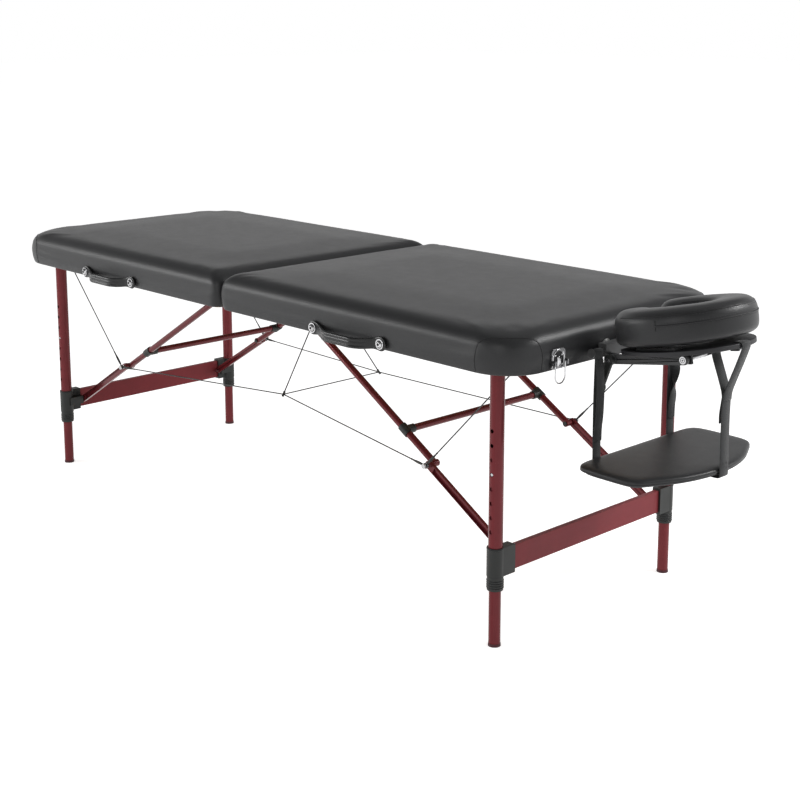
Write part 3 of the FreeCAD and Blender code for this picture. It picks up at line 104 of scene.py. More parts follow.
class Look:
    """A procedural material while its nodes are laid out."""

    def __init__(self, name, rough, metal=0.0, **sockets):
        self.mat = bpy.data.materials.new(name)
        self.mat.use_nodes = True
        self.tree = self.mat.node_tree
        self.coords = add(self.tree, "TexCoord")
        self.put(Roughness=rough, Metallic=metal, **sockets)

    def put(self, **sockets):
        """Set or link the shader's own sockets."""
        shader = self.tree.nodes["Principled BSDF"]
        for name, value in sockets.items():
            put(self.tree, shader.inputs[name.replace("_", " ")], value)

    def texture(self, kind, scale, stretch=(1, 1, 1), uv=False, bands=None, **values):
        way = self.coords.outputs["UV" if uv else "Object"]
        place = add(self.tree, "Mapping", Vector=way, Scale=stretch)
        node = add(self.tree, "Tex" + kind, Vector=place.outputs["Vector"], Scale=scale, **values)
        if bands:
            node.bands_direction = bands
        return node.outputs["Distance" if kind == "Voronoi" else "Fac"]

    def spread(self, value, low, high, start=0.0, end=1.0):
        """A value from start to end, stretched to run from low to high."""
        node = add(self.tree, "MapRange", Value=value, From_Min=start, From_Max=end, To_Min=low, To_Max=high)
        return node.outputs["Result"]

    def clouds(self, value, low=0.0, high=1.0):
        """A noise texture's main range, stretched to run from low to high."""
        return self.spread(value, low, high, 0.3, 0.7)

    def math(self, kind, first, second):
        return combine(self.tree, kind, first, second)

    def tint(self, factor, dark, light):
        node = add(self.tree, "Mix", factor)
        node.data_type = "RGBA"
        for number, color in ((MIX_FIRST, dark), (MIX_SECOND, light)):
            put(self.tree, node.inputs[number], (*color, 1) if isinstance(color, tuple) else color)
        return node.outputs[MIX_RESULT]

    def mottle(self, value, color, low, high):
        """Clouds of a colour between two multiples of it."""
        return self.tint(self.clouds(value), scaled(color, low), scaled(color, high))

    def edges(self, share, start=0.52, end=0.62):
        """Share of wear on convex edges."""
        convex = self.spread(add(self.tree, "NewGeometry").outputs["Pointiness"], 0.0, 1.0, start, end)
        return self.math("MULTIPLY", convex, share)

    def done(self, color, *bumps, **sockets):
        """The finished material, with stacked bumps from (height, depth in metres, strength)."""
        normal = {}
        for height, depth, strength in bumps:
            node = add(self.tree, "Bump", Height=height, Distance=depth, Strength=strength, **normal)
            normal = {"Normal": node.outputs["Normal"]}
        self.put(Base_Color=color, **normal, **sockets)
        return self.mat


def vinyl_look(name, color, rough):
    """Upholstery vinyl: pebbled grain, soft mottling and a satin gloss that varies a little."""
    look = Look(name, rough, Specular_IOR_Level=0.31)
    grain = look.texture("Voronoi", 620)
    fine = look.texture("Noise", 1500, Detail=3)
    broad = look.texture("Noise", 5, Detail=4, Roughness=0.6)
    cloudy = look.texture("Noise", 38, Detail=3)
    pits = look.spread(grain, 0, 0.3, 0.25, 0.7)
    return look.done(look.tint(pits, look.mottle(broad, color, 0.975, 1.025), scaled(color, 0.6)),
                     (cloudy, 0.0001, 0.1), (grain, 0.00022, 0.5), (fine, 0.00008, 0.4),
                     Roughness=look.clouds(cloudy, rough - 0.012, rough + 0.015))


def tube_look(name, color, rough, metal, streak, coat=0.0):
    """Anodised tube: drawing lines along one axis, faint handling marks and paler edges."""
    look = Look(name, rough, metal, Specular_IOR_Level=0.2, Coat_Weight=coat, Coat_Roughness=0.1)
    lines = look.texture("Noise", 900, stretch=streak, Detail=2)
    marks = look.texture("Noise", 22, Detail=5, Roughness=0.65)
    pale = tuple(c * 0.6 + 0.16 for c in color)
    both = look.math("ADD", lines, marks)
    return look.done(look.tint(look.edges(0.35, 0.53, 0.66), look.mottle(marks, color, 0.92, 1.08), pale),
                     (lines, 0.000012, 0.25), (marks, 0.00005, 0.1),
                     Roughness=look.spread(both, rough - 0.04, rough + 0.05, 0.6, 1.4))


def plastic_look(name, color, rough, texture_size=900, depth=0.00006):
    """Moulded plastic or powder coat: spark-eroded texture, rubbed edges."""
    look = Look(name, rough, Specular_IOR_Level=0.36)
    skin = look.texture("Noise", texture_size, Detail=2)
    rub = look.texture("Noise", 26, Detail=4, Roughness=0.6)
    return look.done(look.tint(look.edges(0.4), look.mottle(rub, color, 0.85, 1.18), scaled(color, 2.4)),
                     (skin, depth, 0.5), Roughness=look.clouds(rub, rough - 0.06, rough + 0.07))


def plated_look(name, color, rough, cloud):
    """Plated or zinc-coated steel: bright, with a little clouding and fine scratches."""
    look = Look(name, rough, 1.0)
    haze = look.texture("Noise", 60, Detail=4)
    scratch = look.texture("Noise", 700, stretch=(1, 0.08, 1), Detail=2)
    both = look.math("ADD", haze, scratch)
    return look.done(look.mottle(haze, color, 1 - cloud, 1), (scratch, 0.00003, 0.3),
                     Roughness=look.spread(both, rough * 0.7, rough * 1.4, 0.7, 1.3))


def wood_look(name, pale, dark, stretch, scale):
    """Bare wood with grain along one axis."""
    look = Look(name, 0.6)
    rings = look.texture("Noise", scale, stretch=stretch, Detail=5, Distortion=1.2)
    pores = look.texture("Noise", scale * 9, stretch=stretch, Detail=2)
    grain = look.math("ADD", look.math("MULTIPLY", rings, 0.75), look.math("MULTIPLY", pores, 0.25))
    return look.done(look.tint(look.spread(grain, 0, 1, 0.35, 0.65), dark, pale),
                     (pores, 0.0002, 0.4), Roughness=look.spread(pores, 0.52, 0.7))


def cable_look(name, dark, pale):
    """Coated wire rope: the lay shows as slanted ribs."""
    look = Look(name, 0.38, 0.8)
    lay = look.texture("Wave", 220, uv=True, bands="DIAGONAL", Distortion=0.4)
    soil = look.texture("Noise", 30, Detail=3)
    return look.done(look.tint(look.clouds(soil), dark, pale),
                     (lay, 0.0004, 0.7), Roughness=look.spread(lay, 0.3, 0.48))


def webbing_look(name, color):
    """Polyester webbing: ribs along the tape crossed by the weft, on the ribbon's own coordinates."""
    look = Look(name, 0.78, Sheen_Weight=0.25, Sheen_Roughness=0.4)
    warp = look.texture("Wave", 210, uv=True, bands="X", Distortion=0.3)
    weft = look.texture("Wave", 170, uv=True, bands="Y", Distortion=0.5)
    worn = look.texture("Noise", 45, Detail=3)
    knit = look.math("MULTIPLY", warp, weft)
    half = look.math("MULTIPLY", knit, 0.5)
    return look.done(look.tint(half, look.mottle(worn, color, 0.8, 1.25), scaled(color, 2.2)),
                     (knit, 0.0005, 0.6), Roughness=look.spread(worn, 0.72, 0.86))


def hook_look(name, dark, pale):
    """Hook-and-loop tape: dense little loops."""
    look = Look(name, 0.9, Sheen_Weight=0.4, Sheen_Roughness=0.5)
    loops = look.texture("Voronoi", 900)
    return look.done(look.tint(loops, dark, pale), (loops, 0.0008, 0.8))


VINYL = (0.026, 0.0264, 0.0277)
MAROON = (0.128, 0.016, 0.02)
looks = {
    "vinyl": vinyl_look("vinyl_mat", VINYL, 0.4),
    "plywood": wood_look("plywood_mat", (0.52, 0.38, 0.23), (0.36, 0.24, 0.13), (0.12, 1, 1), 26),
    "frame_wood": wood_look("frame_wood_mat", (0.5, 0.34, 0.19), (0.33, 0.2, 0.1), (0.1, 1, 1), 40),
    "maroon_tube": tube_look("maroon_mat", scaled(MAROON, 1.3), 0.24, 0.22, (1, 1, 0.03)),
    "black_plastic": plastic_look("black_plastic_mat", (0.015, 0.0165, 0.0155), 0.44),
    "handle_plastic": plastic_look("handle_mat", (0.0085, 0.009, 0.0095), 0.3, 500, 0.00001),
    "black_steel": plastic_look("black_steel_mat", (0.06, 0.061, 0.062), 0.38, 1300),
    "black_board": plastic_look("black_board_mat", (0.022, 0.022, 0.024), 0.5, 400, 0.0001),
    "chrome": plated_look("chrome_mat", (0.6, 0.6, 0.61), 0.16, 0.3),
    "zinc_steel": plated_look("zinc_mat", (0.62, 0.62, 0.6), 0.36, 0.22),
    "cable_steel": cable_look("cable_steel_mat", (0.035, 0.036, 0.037), (0.075, 0.076, 0.078)),
    "foot_rubber": plastic_look("rubber_mat", (0.07, 0.02, 0.024), 0.6, 700, 0.0002),
    "webbing": webbing_look("webbing_mat", (0.022, 0.023, 0.024)),
    "hook_tape": hook_look("hook_tape_mat", (0.012, 0.012, 0.013), (0.05, 0.05, 0.052)),
}
bar_mat = tube_look("maroon_bar_mat", scaled(MAROON, 1.65), 0.46, 0.12, (1, 0.03, 1))
brace_mat = tube_look("maroon_brace_mat", scaled(MAROON, 1.1), 0.2, 0.3, (0.03, 1, 0.03), 0.2)
latch_mat = plated_look("latch_mat", (0.3, 0.3, 0.31), 0.26, 0.35)
thread_mat = plastic_look("thread_mat", (0.02, 0.02, 0.021), 0.6, 1800, 0.0001)
# Seams and welts: the vinyl darkened, as painted shade in the seam's crease
seam_shade_mat = vinyl_look("seam_shade_mat", scaled(VINYL, 0.55), 0.5)
# Near-black: painted shade in recesses, gaps and hollows, and also the zip's own black tape
shade_and_zip_tape_mat = plastic_look("recess_shade_and_zip_tape_mat", (0.01, 0.01, 0.011), 0.6)


# The solids that show: their finish, and edges broken as on real metal and plastic

slot_of = {row["node"]: row["material_slot"] for row in frame["record"]["subparts"]}
SPECIAL = {"crossbar": bar_mat, "_braces": brace_mat, "latch_plates": latch_mat, "latch_keepers": latch_mat}
# Width of the broken edge in millimetres
EDGE = {"maroon_tube": 0.5, "black_plastic": 1.0, "black_steel": 0.9, "black_board": 1.2, "chrome": 0.35,
        "zinc_steel": 0.4, "frame_wood": 1.2, "plywood": 0.5, "foot_rubber": 0.8}


def soften(obj, width):
    weld = obj.modifiers.new("weld", "WELD")
    weld.merge_threshold = 1e-5
    bevel = obj.modifiers.new("edge", "BEVEL")
    bevel.width = width
    bevel.segments = 2
    bevel.limit_method = "ANGLE"
    bevel.angle_limit = math.radians(38)
    bevel.use_clamp_overlap = True
    normals = obj.modifiers.new("normals", "WEIGHTED_NORMAL")
    normals.keep_sharp = False
    normals.weight = 80


for name, obj in frame["nodes"].items():
    finish = looks[slot_of[name]]
    for ending, special in SPECIAL.items():
        if name.endswith(ending):
            finish = special
    obj.data.materials.clear()
    obj.data.materials.append(finish)
    if slot_of[name] in EDGE:
        soften(obj, EDGE[slot_of[name]] * MM)


# Mesh tools

PATH_STEP = 4 * MM
CLOTH_FRAMES = 20
CLOTH = {"quality": 6, "mass": 0.35, "tension_stiffness": 15.0, "compression_stiffness": 15.0,
         "shear_stiffness": 5.0, "bending_stiffness": 2.0, "use_pressure": True}
WIDE_CAP = 20


def new_object(name, data):
    obj = bpy.data.objects.new(name, data)
    bpy.context.scene.collection.objects.link(obj)
    return obj


def piece(name, verts, faces, slot, mat=None):
    mesh = bpy.data.meshes.new(name)
    mesh.from_pydata(verts, [], faces)
    obj = new_object(name, mesh)
    shell = bmesh.new()
    shell.from_mesh(mesh)
    bmesh.ops.recalc_face_normals(shell, faces=shell.faces)
    shell.to_mesh(mesh)
    shell.free()
    for face in mesh.polygons:
        face.use_smooth = True
    mesh.materials.append(mat or looks[slot])
    return obj


def joined(name, parts, slot, mat=None):
    """One piece from several (verts, faces, uvs)."""
    verts, faces, uvs = [], [], []
    for part_verts, part_faces, part_uvs in parts:
        start = len(verts)
        verts += part_verts
        faces += [tuple(start + i for i in face) for face in part_faces]
        uvs += part_uvs
    obj = piece(name, verts, faces, slot, mat)
    layer = obj.data.uv_layers.new(name="UVMap")
    for loop in obj.data.loops:
        layer.data[loop.index].uv = uvs[loop.vertex_index]
    return obj


def trim(name, parts, slot, mat, body):
    """A small piece on a body, which stands for none of the solids."""
    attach(joined(name, parts, slot, mat), body)


def subdivide(obj):
    """Smooth a mesh. Wide flat caps are cut into triangles first, which smooth far faster."""
    work = bmesh.new()
    work.from_mesh(obj.data)
    bmesh.ops.triangulate(work, faces=[face for face in work.faces if len(face.verts) > WIDE_CAP])
    work.to_mesh(obj.data)
    work.free()
    mod = obj.modifiers.new("smooth", "SUBSURF")
    mod.levels = 1
    mod.render_levels = 1
    return obj


def band_faces(first, second, count):
    """Quads between two closed rows of points that start at the given indices."""
    return [(first + i, first + (i + 1) % count, second + (i + 1) % count, second + i) for i in range(count)]


def loft(rows, ends=True):
    """Vertices and faces of a skin over closed rows of points, with or without its flat ends."""
    count = len(rows[0])
    verts = [point for row in rows for point in row]
    faces = []
    for start in range(count, len(verts), count):
        faces += band_faces(start - count, start, count)
    if ends:
        faces += [tuple(range(count)), tuple(range(len(verts) - count, len(verts)))]
    return verts, faces


def spots(start, *moves):
    """Places at (x, y, z) moves in millimetres from a start."""
    return [start + Vector(move) * MM for move in moves]


def smooth_path(points, step=PATH_STEP):
    """Evenly spaced points on a smooth curve through the given ones."""
    ends = [2 * points[0] - points[1]] + points + [2 * points[-1] - points[-2]]
    fine = []
    for a, b, c, d in zip(ends, ends[1:], ends[2:], ends[3:]):
        parts = max(2, int((c - b).length / step))
        for i in range(parts):
            t = i / parts
            fine.append(0.5 * (2 * b + (c - a) * t + (2 * a - 5 * b + 4 * c - d) * t * t
                               + (3 * b - a - 3 * c + d) * t ** 3))
    fine.append(points[-1])
    return fine


def walk(points, shut=False):
    """Share of the way, place, direction and length run at each point of a line."""
    last = len(points) - 1
    run = 0.0
    for i, point in enumerate(points):
        after = points[(i + 1) % len(points)] if shut else points[min(i + 1, last)]
        before = points[i - 1] if shut else points[max(i - 1, 0)]
        run += (point - before).length if i else 0.0
        yield i / last, point, (after - before).normalized(), run


def circle(count):
    return [2 * math.pi * i / count for i in range(count)]


def tube_parts(points, radius, sides=8, shut=False):
    """Vertices, faces and uv of a round tube along points; radius may be a function of the share run."""
    turns = circle(sides)
    rows, uvs = [], []
    normal = None
    for share, point, way, run in walk(points, shut):
        if normal is None:
            normal = way.orthogonal().normalized()
        normal = (normal - way * normal.dot(way)).normalized()
        across = way.cross(normal)
        size = radius(share) if callable(radius) else radius
        rows.append([point + size * (math.cos(turn) * normal + math.sin(turn) * across) for turn in turns])
        uvs += [(turn * size, run) for turn in turns]
    verts, faces = loft(rows, ends=not shut)
    if shut:
        faces += band_faces(len(verts) - sides, 0, sides)
    return verts, faces, uvs


def ring_parts(middle, radius, axis, thick, count=28):
    """Round wire ring about an axis given by its letter, Y or Z."""
    across = Vector((0, 0, radius) if axis == "Y" else (0, radius, 0))
    line = [middle + Vector((radius * math.cos(t), 0, 0)) + across * math.sin(t) for t in circle(count)]
    return tube_parts(line, thick, shut=True)


def cross_parts(middle, ways, thick):
    """Cross recess of a screw: bars through a middle, each along a way in millimetres."""
    parts = []
    for way in ways:
        arm = Vector(way) * MM
        parts.append(tube_parts([middle - arm, middle, middle + arm], thick, 6))
    return parts


def stitch_parts(points, pitch, length, radius):
    """Little rounded dashes along a line."""
    def thickness(t):
        return radius * (0.45 if t in (0, 1) else 1.0)

    parts = []
    spent = 0.0
    for a, b in zip(points, points[1:]):
        spent += (b - a).length
        if spent >= pitch:
            spent = 0.0
            way = (b - a).normalized() * length / 2
            parts.append(tube_parts([b - way, b - way * 0.6, b + way * 0.6, b + way], thickness, 5))
    return parts


def surface_of(obj):
    shown = obj.evaluated_get(bpy.context.evaluated_depsgraph_get()).to_mesh()
    faces = [tuple(face.vertices) for face in shown.polygons]
    return BVHTree.FromPolygons([v.co.copy() for v in shown.vertices], faces)


def cling(skin, points, lift=0.0):
    """Points moved to the nearest place on a surface and lifted off it."""
    held = []
    for point in points:
        place, normal, _, _ = skin.find_nearest(point)
        held.append(place + normal * lift)
    return held


def puff(obj, pinned, pressure, cap):
    """Cloth with inside pressure. Pinned points stay, and no point moves by more than the cap."""
    rest = [v.co.copy() for v in obj.data.vertices]
    held = obj.vertex_groups.new(name="held")
    held.add([v.index for v in obj.data.vertices if pinned(v)], 1.0, "REPLACE")
    mod = obj.modifiers.new("cloth", "CLOTH")
    cloth = mod.settings
    for setting, value in CLOTH.items():
        setattr(cloth, setting, value)
    cloth.uniform_pressure_force = pressure
    cloth.effector_weights.gravity = 0
    cloth.vertex_group_mass = held.name
    mod.collision_settings.use_collision = False
    mod.point_cache.frame_start = 1
    mod.point_cache.frame_end = CLOTH_FRAMES
    scene = bpy.context.scene
    for step in range(1, CLOTH_FRAMES + 1):
        scene.frame_set(step)
    swollen = obj.evaluated_get(bpy.context.evaluated_depsgraph_get()).to_mesh()
    moves = [v.co - start for v, start in zip(swollen.vertices, rest)]
    obj.modifiers.remove(mod)
    obj.vertex_groups.remove(held)
    for vert, start, move in zip(obj.data.vertices, rest, moves):
        if move.length > cap:
            move = move * (cap / move.length)
        vert.co = start + move
    scene.frame_set(1)


def upholster(obj, body, node):
    """A padded piece that stands for a soft solid."""
    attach(obj, body)
    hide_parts(node)


def round_edge(top, radius, angles):
    """Inset and height of the rings of a round top edge."""
    turns = [math.radians(angle) for angle in angles]
    return [(radius * (1 - math.cos(t)), top - radius * (1 - math.sin(t))) for t in turns]


def ease(value, start, end):
    t = min(1.0, max(0.0, (value - start) / (end - start)))
    return t * t * (3 - 2 * t)


# Padded top. Each half is a closed cover: a crowned top on a quad grid, a broad round edge,
# walls that draw in below, and a lip turned under the frame and up to the deck.

pad_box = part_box("head_pad")
PAD_X = [corner.x for corner in pad_box]
PAD_Y = pad_box[1].y
PAD_LOW, PAD_TOP = [corner.z for corner in pad_box]
CROWN, CROWN_REACH = 5 * MM, 200 * MM
SHOULDER = PAD_TOP - CROWN
EDGE_ROUND = 34 * MM
END_CORNER, SPLIT_CORNER = 90 * MM, 22 * MM
COVER_WALL = 8 * MM
WELL_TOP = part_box("head_deck")[1].z + 0.3 * MM
ON_DECK = WELL_TOP + 0.1 * MM
NX, NY = 66, 50
RING = 2 * (NX + NY)
# Rings of the cover in millimetres: insets on the top, inset and height down the wall,
# insets of the lip under the rail, and insets on the deck from the cover's inner face
TOP_INSETS = (68, 56, 44)
WALL_ROWS = ((-0.3, 623), (0, 613), (0.8, 603), (2.1, 594), (3.6, 587))
LIP_INSETS = (5.2, 6.6)
DECK_INSETS = (1, 6, 12)
STAPLE_Z, STAPLE_RIM = 603 * MM, 6 * MM
SWELL_LOW, SWELL_HIGH = 600 * MM, 650 * MM
COVER_PRESSURE, COVER_CAP = 1.1, 2.5 * MM
# Seam of the corner gusset: half its spread in degrees, its ends over the lip, its top under the
# shoulder, its lean inwards and the squareness of its arch
GUSSET_SPREAD, GUSSET_LOW, GUSSET_TOP, GUSSET_LEAN, GUSSET_ARCH = 47, 2 * MM, 8 * MM, 12 * MM, 2.6
GUSSET_STEPS = 30
# The seam's radius, and its stitches: how far above it and off the cover, then pitch, length and radius
COVER_SEAM, STITCH_RISE, STITCH_LIFT = 0.85 * MM, 3.2 * MM, 0.1 * MM
COVER_STITCH = (5 * MM, 3.2 * MM, 0.4 * MM)


def pad_outline(inset):
    """Level outline, from the middle of each corner's arc to the middle of the next."""
    x0, x1, half = PAD_X[0] + inset, PAD_X[1] - inset, PAD_Y - inset
    split, end = SPLIT_CORNER, END_CORNER
    corners = [((x0 + split, -half + split), split), ((x1 - end, -half + end), end),
               ((x1 - end, half - end), end), ((x0 + split, half - split), split)]
    points = []
    for side, count in enumerate((NX, NY, NX, NY)):
        (c0, r0), (c1, r1) = corners[side], corners[(side + 1) % 4]
        face = math.radians(90 * side - 90)
        straight = math.dist(c0, c1)
        arcs = (r0 * math.pi / 4, r1 * math.pi / 4)
        for i in range(count):
            run = (sum(arcs) + straight) * i / count
            if run < arcs[0]:
                turn, middle, radius = face - math.pi / 4 + run / r0, c0, r0
            elif run > arcs[0] + straight:
                turn, middle, radius = face + (run - arcs[0] - straight) / r1, c1, r1
            else:
                along = (run - arcs[0]) / straight
                turn, radius = face, r0 + (r1 - r0) * along
                middle = (c0[0] + (c1[0] - c0[0]) * along, c0[1] + (c1[1] - c0[1]) * along)
            points.append((middle[0] + radius * math.cos(turn), middle[1] + radius * math.sin(turn)))
    return points


def crown_height(x, y):
    along = ease(min(x - PAD_X[0], PAD_X[1] - x), EDGE_ROUND, CROWN_REACH)
    across = ease(PAD_Y - abs(y), EDGE_ROUND, CROWN_REACH)
    return SHOULDER + CROWN * along * across


def pad_rings():
    """Inset and height of the cover's rings, from the top to the deck. None stands for the crown's height."""
    rings = [(inset * MM, None) for inset in TOP_INSETS] + [(EDGE_ROUND, None)]
    rings += round_edge(SHOULDER, EDGE_ROUND, range(80, -1, -10))
    rings += [(inset * MM, z * MM) for inset, z in WALL_ROWS]
    rings += [(inset * MM, PAD_LOW) for inset in LIP_INSETS]
    for z in (PAD_LOW + 0.5 * MM, PAD_LOW + 12 * MM, WELL_TOP - 1.2 * MM, WELL_TOP):
        rings.append((COVER_WALL, z))
    return rings + [(COVER_WALL + inset * MM, WELL_TOP) for inset in DECK_INSETS]


def pad_mesh():
    """Vertices and faces of the head half's cover."""
    rows = []
    for inset, z in pad_rings():
        rows.append([(x, y, crown_height(x, y) if z is None else z) for x, y in pad_outline(inset)])
    verts, faces = loft(rows, ends=False)
    faces.append(tuple(range(len(verts) - RING, len(verts))))
    ids = {}
    for i in range(NX + 1):
        ids[i, 0] = i
        ids[i, NY] = 2 * NX + NY - i
    for j in range(1, NY):
        ids[NX, j] = NX + j
        ids[0, j] = RING - j
    low, high = ([rows[0][ids[i, j]] for i in range(NX + 1)] for j in (0, NY))
    left, right = ([rows[0][ids[i, j]] for j in range(NY + 1)] for i in (0, NX))
    for i in range(1, NX):
        for j in range(1, NY):
            u, v = i / NX, j / NY
            at = []
            for k in (0, 1):
                ruled = (1 - v) * low[i][k] + v * high[i][k] + (1 - u) * left[j][k] + u * right[j][k]
                flat = ((1 - u) * (1 - v) * low[0][k] + u * (1 - v) * low[NX][k] + u * v * high[NX][k]
                        + (1 - u) * v * high[0][k])
                at.append(ruled - flat)
            ids[i, j] = len(verts)
            verts.append((at[0], at[1], crown_height(*at)))
    for i in range(NX):
        for j in range(NY):
            faces.append((ids[i, j], ids[i + 1, j], ids[i + 1, j + 1], ids[i, j + 1]))
    return verts, faces


def held_down(vert):
    """The cover is stapled under the frame and lies on the deck."""
    inside = abs(vert.co.y) < PAD_Y - STAPLE_RIM and PAD_X[0] + STAPLE_RIM < vert.co.x < PAD_X[1] - STAPLE_RIM
    return vert.co.z < STAPLE_Z or inside and vert.co.z < ON_DECK


def settle(obj, seed):
    """Slight unevenness of foam under a stretched cover, strongest on the top and the round edge."""
    for vert in obj.data.vertices:
        on_wall = vert.co.z > SWELL_LOW and abs(vert.co.y) > PAD_Y - 4 * MM
        if on_wall or vert.co.z > ON_DECK:
            at = vert.co + Vector((seed, seed * 0.7, 0))
            swell = noise.noise(at * 3.5) * 0.4 * MM + noise.noise(at * 12) * 0.04 * MM
            vert.co.z += swell * ease(vert.co.z, SWELL_LOW, SWELL_HIGH)


def cover_seams(half, skin):
    """Seam round each outer corner's gusset, with its stitches, on the cover's own surface."""
    lines, stitches = [], []
    for side in SIDES:
        rough = []
        for i in range(2 * GUSSET_STEPS + 1):
            t = i / GUSSET_STEPS - 1
            turn = math.radians(45 + GUSSET_SPREAD * math.sin(t * math.pi / 2))
            lift = math.sqrt(1 - abs(t) ** GUSSET_ARCH)
            reach = END_CORNER - GUSSET_LEAN * lift ** 4
            x = PAD_X[1] - END_CORNER + reach * math.cos(turn)
            y = PAD_Y - END_CORNER + reach * math.sin(turn)
            z = PAD_LOW + GUSSET_LOW + (SHOULDER - GUSSET_TOP - PAD_LOW) * lift
            rough.append(Vector((HALVES[half] * x, side * y, z)))
        line = cling(skin, smooth_path(rough))
        lines.append(tube_parts(line, COVER_SEAM, 6))
        above = [point + Vector((0, 0, STITCH_RISE)) for point in line]
        stitches += stitch_parts(cling(skin, above, STITCH_LIFT), *COVER_STITCH)
    # The seam lines are darkened vinyl: painted shade of the seams
    trim(half + "_cover_seams", lines, "vinyl", seam_shade_mat, half + "_half")
    trim(half + "_cover_stitches", stitches, "vinyl", thread_mat, half + "_half")


def build_covers():
    """The foot half's cover is the head half's, mirrored at the split."""
    head_cover = piece("head_cover", *pad_mesh(), "vinyl")
    puff(head_cover, held_down, COVER_PRESSURE, COVER_CAP)
    foot_cover = head_cover.copy()
    foot_cover.data = head_cover.data.copy()
    foot_cover.name = "foot_cover"
    bpy.context.scene.collection.objects.link(foot_cover)
    foot_cover.data.transform(Matrix.Scale(-1, 4, (1, 0, 0)))
    foot_cover.data.flip_normals()
    for half, cover, seed in (("head", head_cover, 3.1), ("foot", foot_cover, 8.4)):
        settle(cover, seed)
        subdivide(cover)
        upholster(cover, half + "_half", half + "_pad")
        cover_seams(half, surface_of(cover))


build_covers()


# Face cushion, in the leaning frame of its board

joints = {row["name"]: row for row in frame["joints"]}
TILT_AXIS, AXLE = Vector(joints["headrest_tilt"]["pos_m"]), Vector(joints["platform_tilt"]["pos_m"])
LEAN = math.atan2(AXLE.z - TILT_AXIS.z, AXLE.x - TILT_AXIS.x)
RING_OUT, RING_IN, RING_AT = 140 * MM, 52 * MM, -54 * MM
MOUTH = math.radians(130.5)
CUSHION_LOW, CUSHION_HEIGHT, CUSHION_ROUND = 23.8 * MM, 71 * MM, 26 * MM
CUSHION_LEAN = math.radians(2.2)
CUSHION_PRESSURE, CUSHION_CAP = 2.2, 4 * MM
ARC_STEPS, CAP_STEPS, BASE_ROWS = 60, 14, 5
HALF_RING = ARC_STEPS + CAP_STEPS
# Inset and height in millimetres of the rings up to the round top edge
CUSHION_WALL = ((36, 0), (24, 0), (15, 0.2), (10, 1.4), (5, 4.4), (1.6, 8.6), (0.2, 14), (-0.6, 22),
                (-0.8, 31))
# Seam and zip round the outer wall: half their reach in degrees, and their height over the base
SEAM_REACH, SEAM_RISE = 120, 61 * MM
ZIP_REACH, ZIP_RISE = 78, 41 * MM
CUSHION_SEAM, ZIP_TAPE = 1.1 * MM, 1.7 * MM
# Seams across the zip's ends, as heights in millimetres, and the seam round the opening
END_SEAM = range(32, 53, 2)
INNER_SEAM, INNER_RISE, INNER_STEPS = RING_IN + 9 * MM, 66 * MM, 80
# Rows of stitches: half their reach in degrees, steps, and heights in millimetres
STITCH_ROWS = ((SEAM_REACH, 260, (56.5, 65.5)), (ZIP_REACH, 200, (37, 45)))
# Stitches and zip teeth: pitch, length and radius
CUSHION_STITCH = (4.5 * MM, 3 * MM, 0.45 * MM)
ZIP_TOOTH = (2 * MM, 1.1 * MM, 0.9 * MM)


def cradle(u, y, w):
    """Point of the leaning frame: u along the arms, w up from them."""
    return Vector((AXLE.x + u * math.cos(LEAN) - w * math.sin(LEAN), y,
                   AXLE.z + u * math.sin(LEAN) + w * math.cos(LEAN)))


def cushion_point(u, y, w):
    """Point of the cushion, which leans a little more than the board under it."""
    return cradle(u, y, w + (u - RING_AT + RING_OUT) * math.tan(CUSHION_LEAN))


def round_ring(radius, turn, w):
    return cushion_point(RING_AT + radius * math.cos(turn), radius * math.sin(turn), w)


def horseshoe(inset, w):
    """Outer arc, far end, inner arc, near end."""
    points = []
    middle, cap = (RING_OUT + RING_IN) / 2, (RING_OUT - RING_IN) / 2 - inset
    for side, radius in ((1, RING_OUT - inset), (-1, RING_IN + inset)):
        mouth = side * MOUTH
        points += [round_ring(radius, mouth * (2 * i / ARC_STEPS - 1), w) for i in range(ARC_STEPS + 1)]
        for i in range(1, CAP_STEPS):
            turn = mouth + math.pi * (i / CAP_STEPS + (side < 0))
            points.append(cushion_point(RING_AT + middle * math.cos(mouth) + cap * math.cos(turn),
                                        middle * math.sin(mouth) + cap * math.sin(turn), w))
    return points


def cushion_mesh():
    top = CUSHION_LOW + CUSHION_HEIGHT
    rings = [(inset * MM, CUSHION_LOW + rise * MM) for inset, rise in CUSHION_WALL]
    rings += round_edge(top, CUSHION_ROUND, range(0, 85, 12))
    rings += [(30 * MM, top + 0.6 * MM), (37 * MM, top + 1.2 * MM)]
    verts, faces = loft([horseshoe(inset, w) for inset, w in rings], ends=False)
    count = 2 * HALF_RING
    for base in (0, len(verts) - count):
        inner = base + HALF_RING + ARC_STEPS
        faces += [(base + i, base + i + 1, inner - i - 1, inner - i) for i in range(ARC_STEPS)]
        faces.append(tuple(base + ARC_STEPS + i for i in range(CAP_STEPS + 1)))
        faces.append(tuple(base + (HALF_RING + ARC_STEPS + i) % count for i in range(CAP_STEPS + 1)))
    return verts, faces


def on_base(vert):
    """The cushion's underside is held by the tape on its board."""
    return vert.index < BASE_ROWS * 2 * HALF_RING


def wall_line(reach, rise, steps=90):
    """Line round the cushion's outer wall, so many degrees to each side of its outer end."""
    return [round_ring(RING_OUT - 2 * MM, math.radians(reach * (2 * i / steps - 1)), CUSHION_LOW + rise)
            for i in range(steps + 1)]


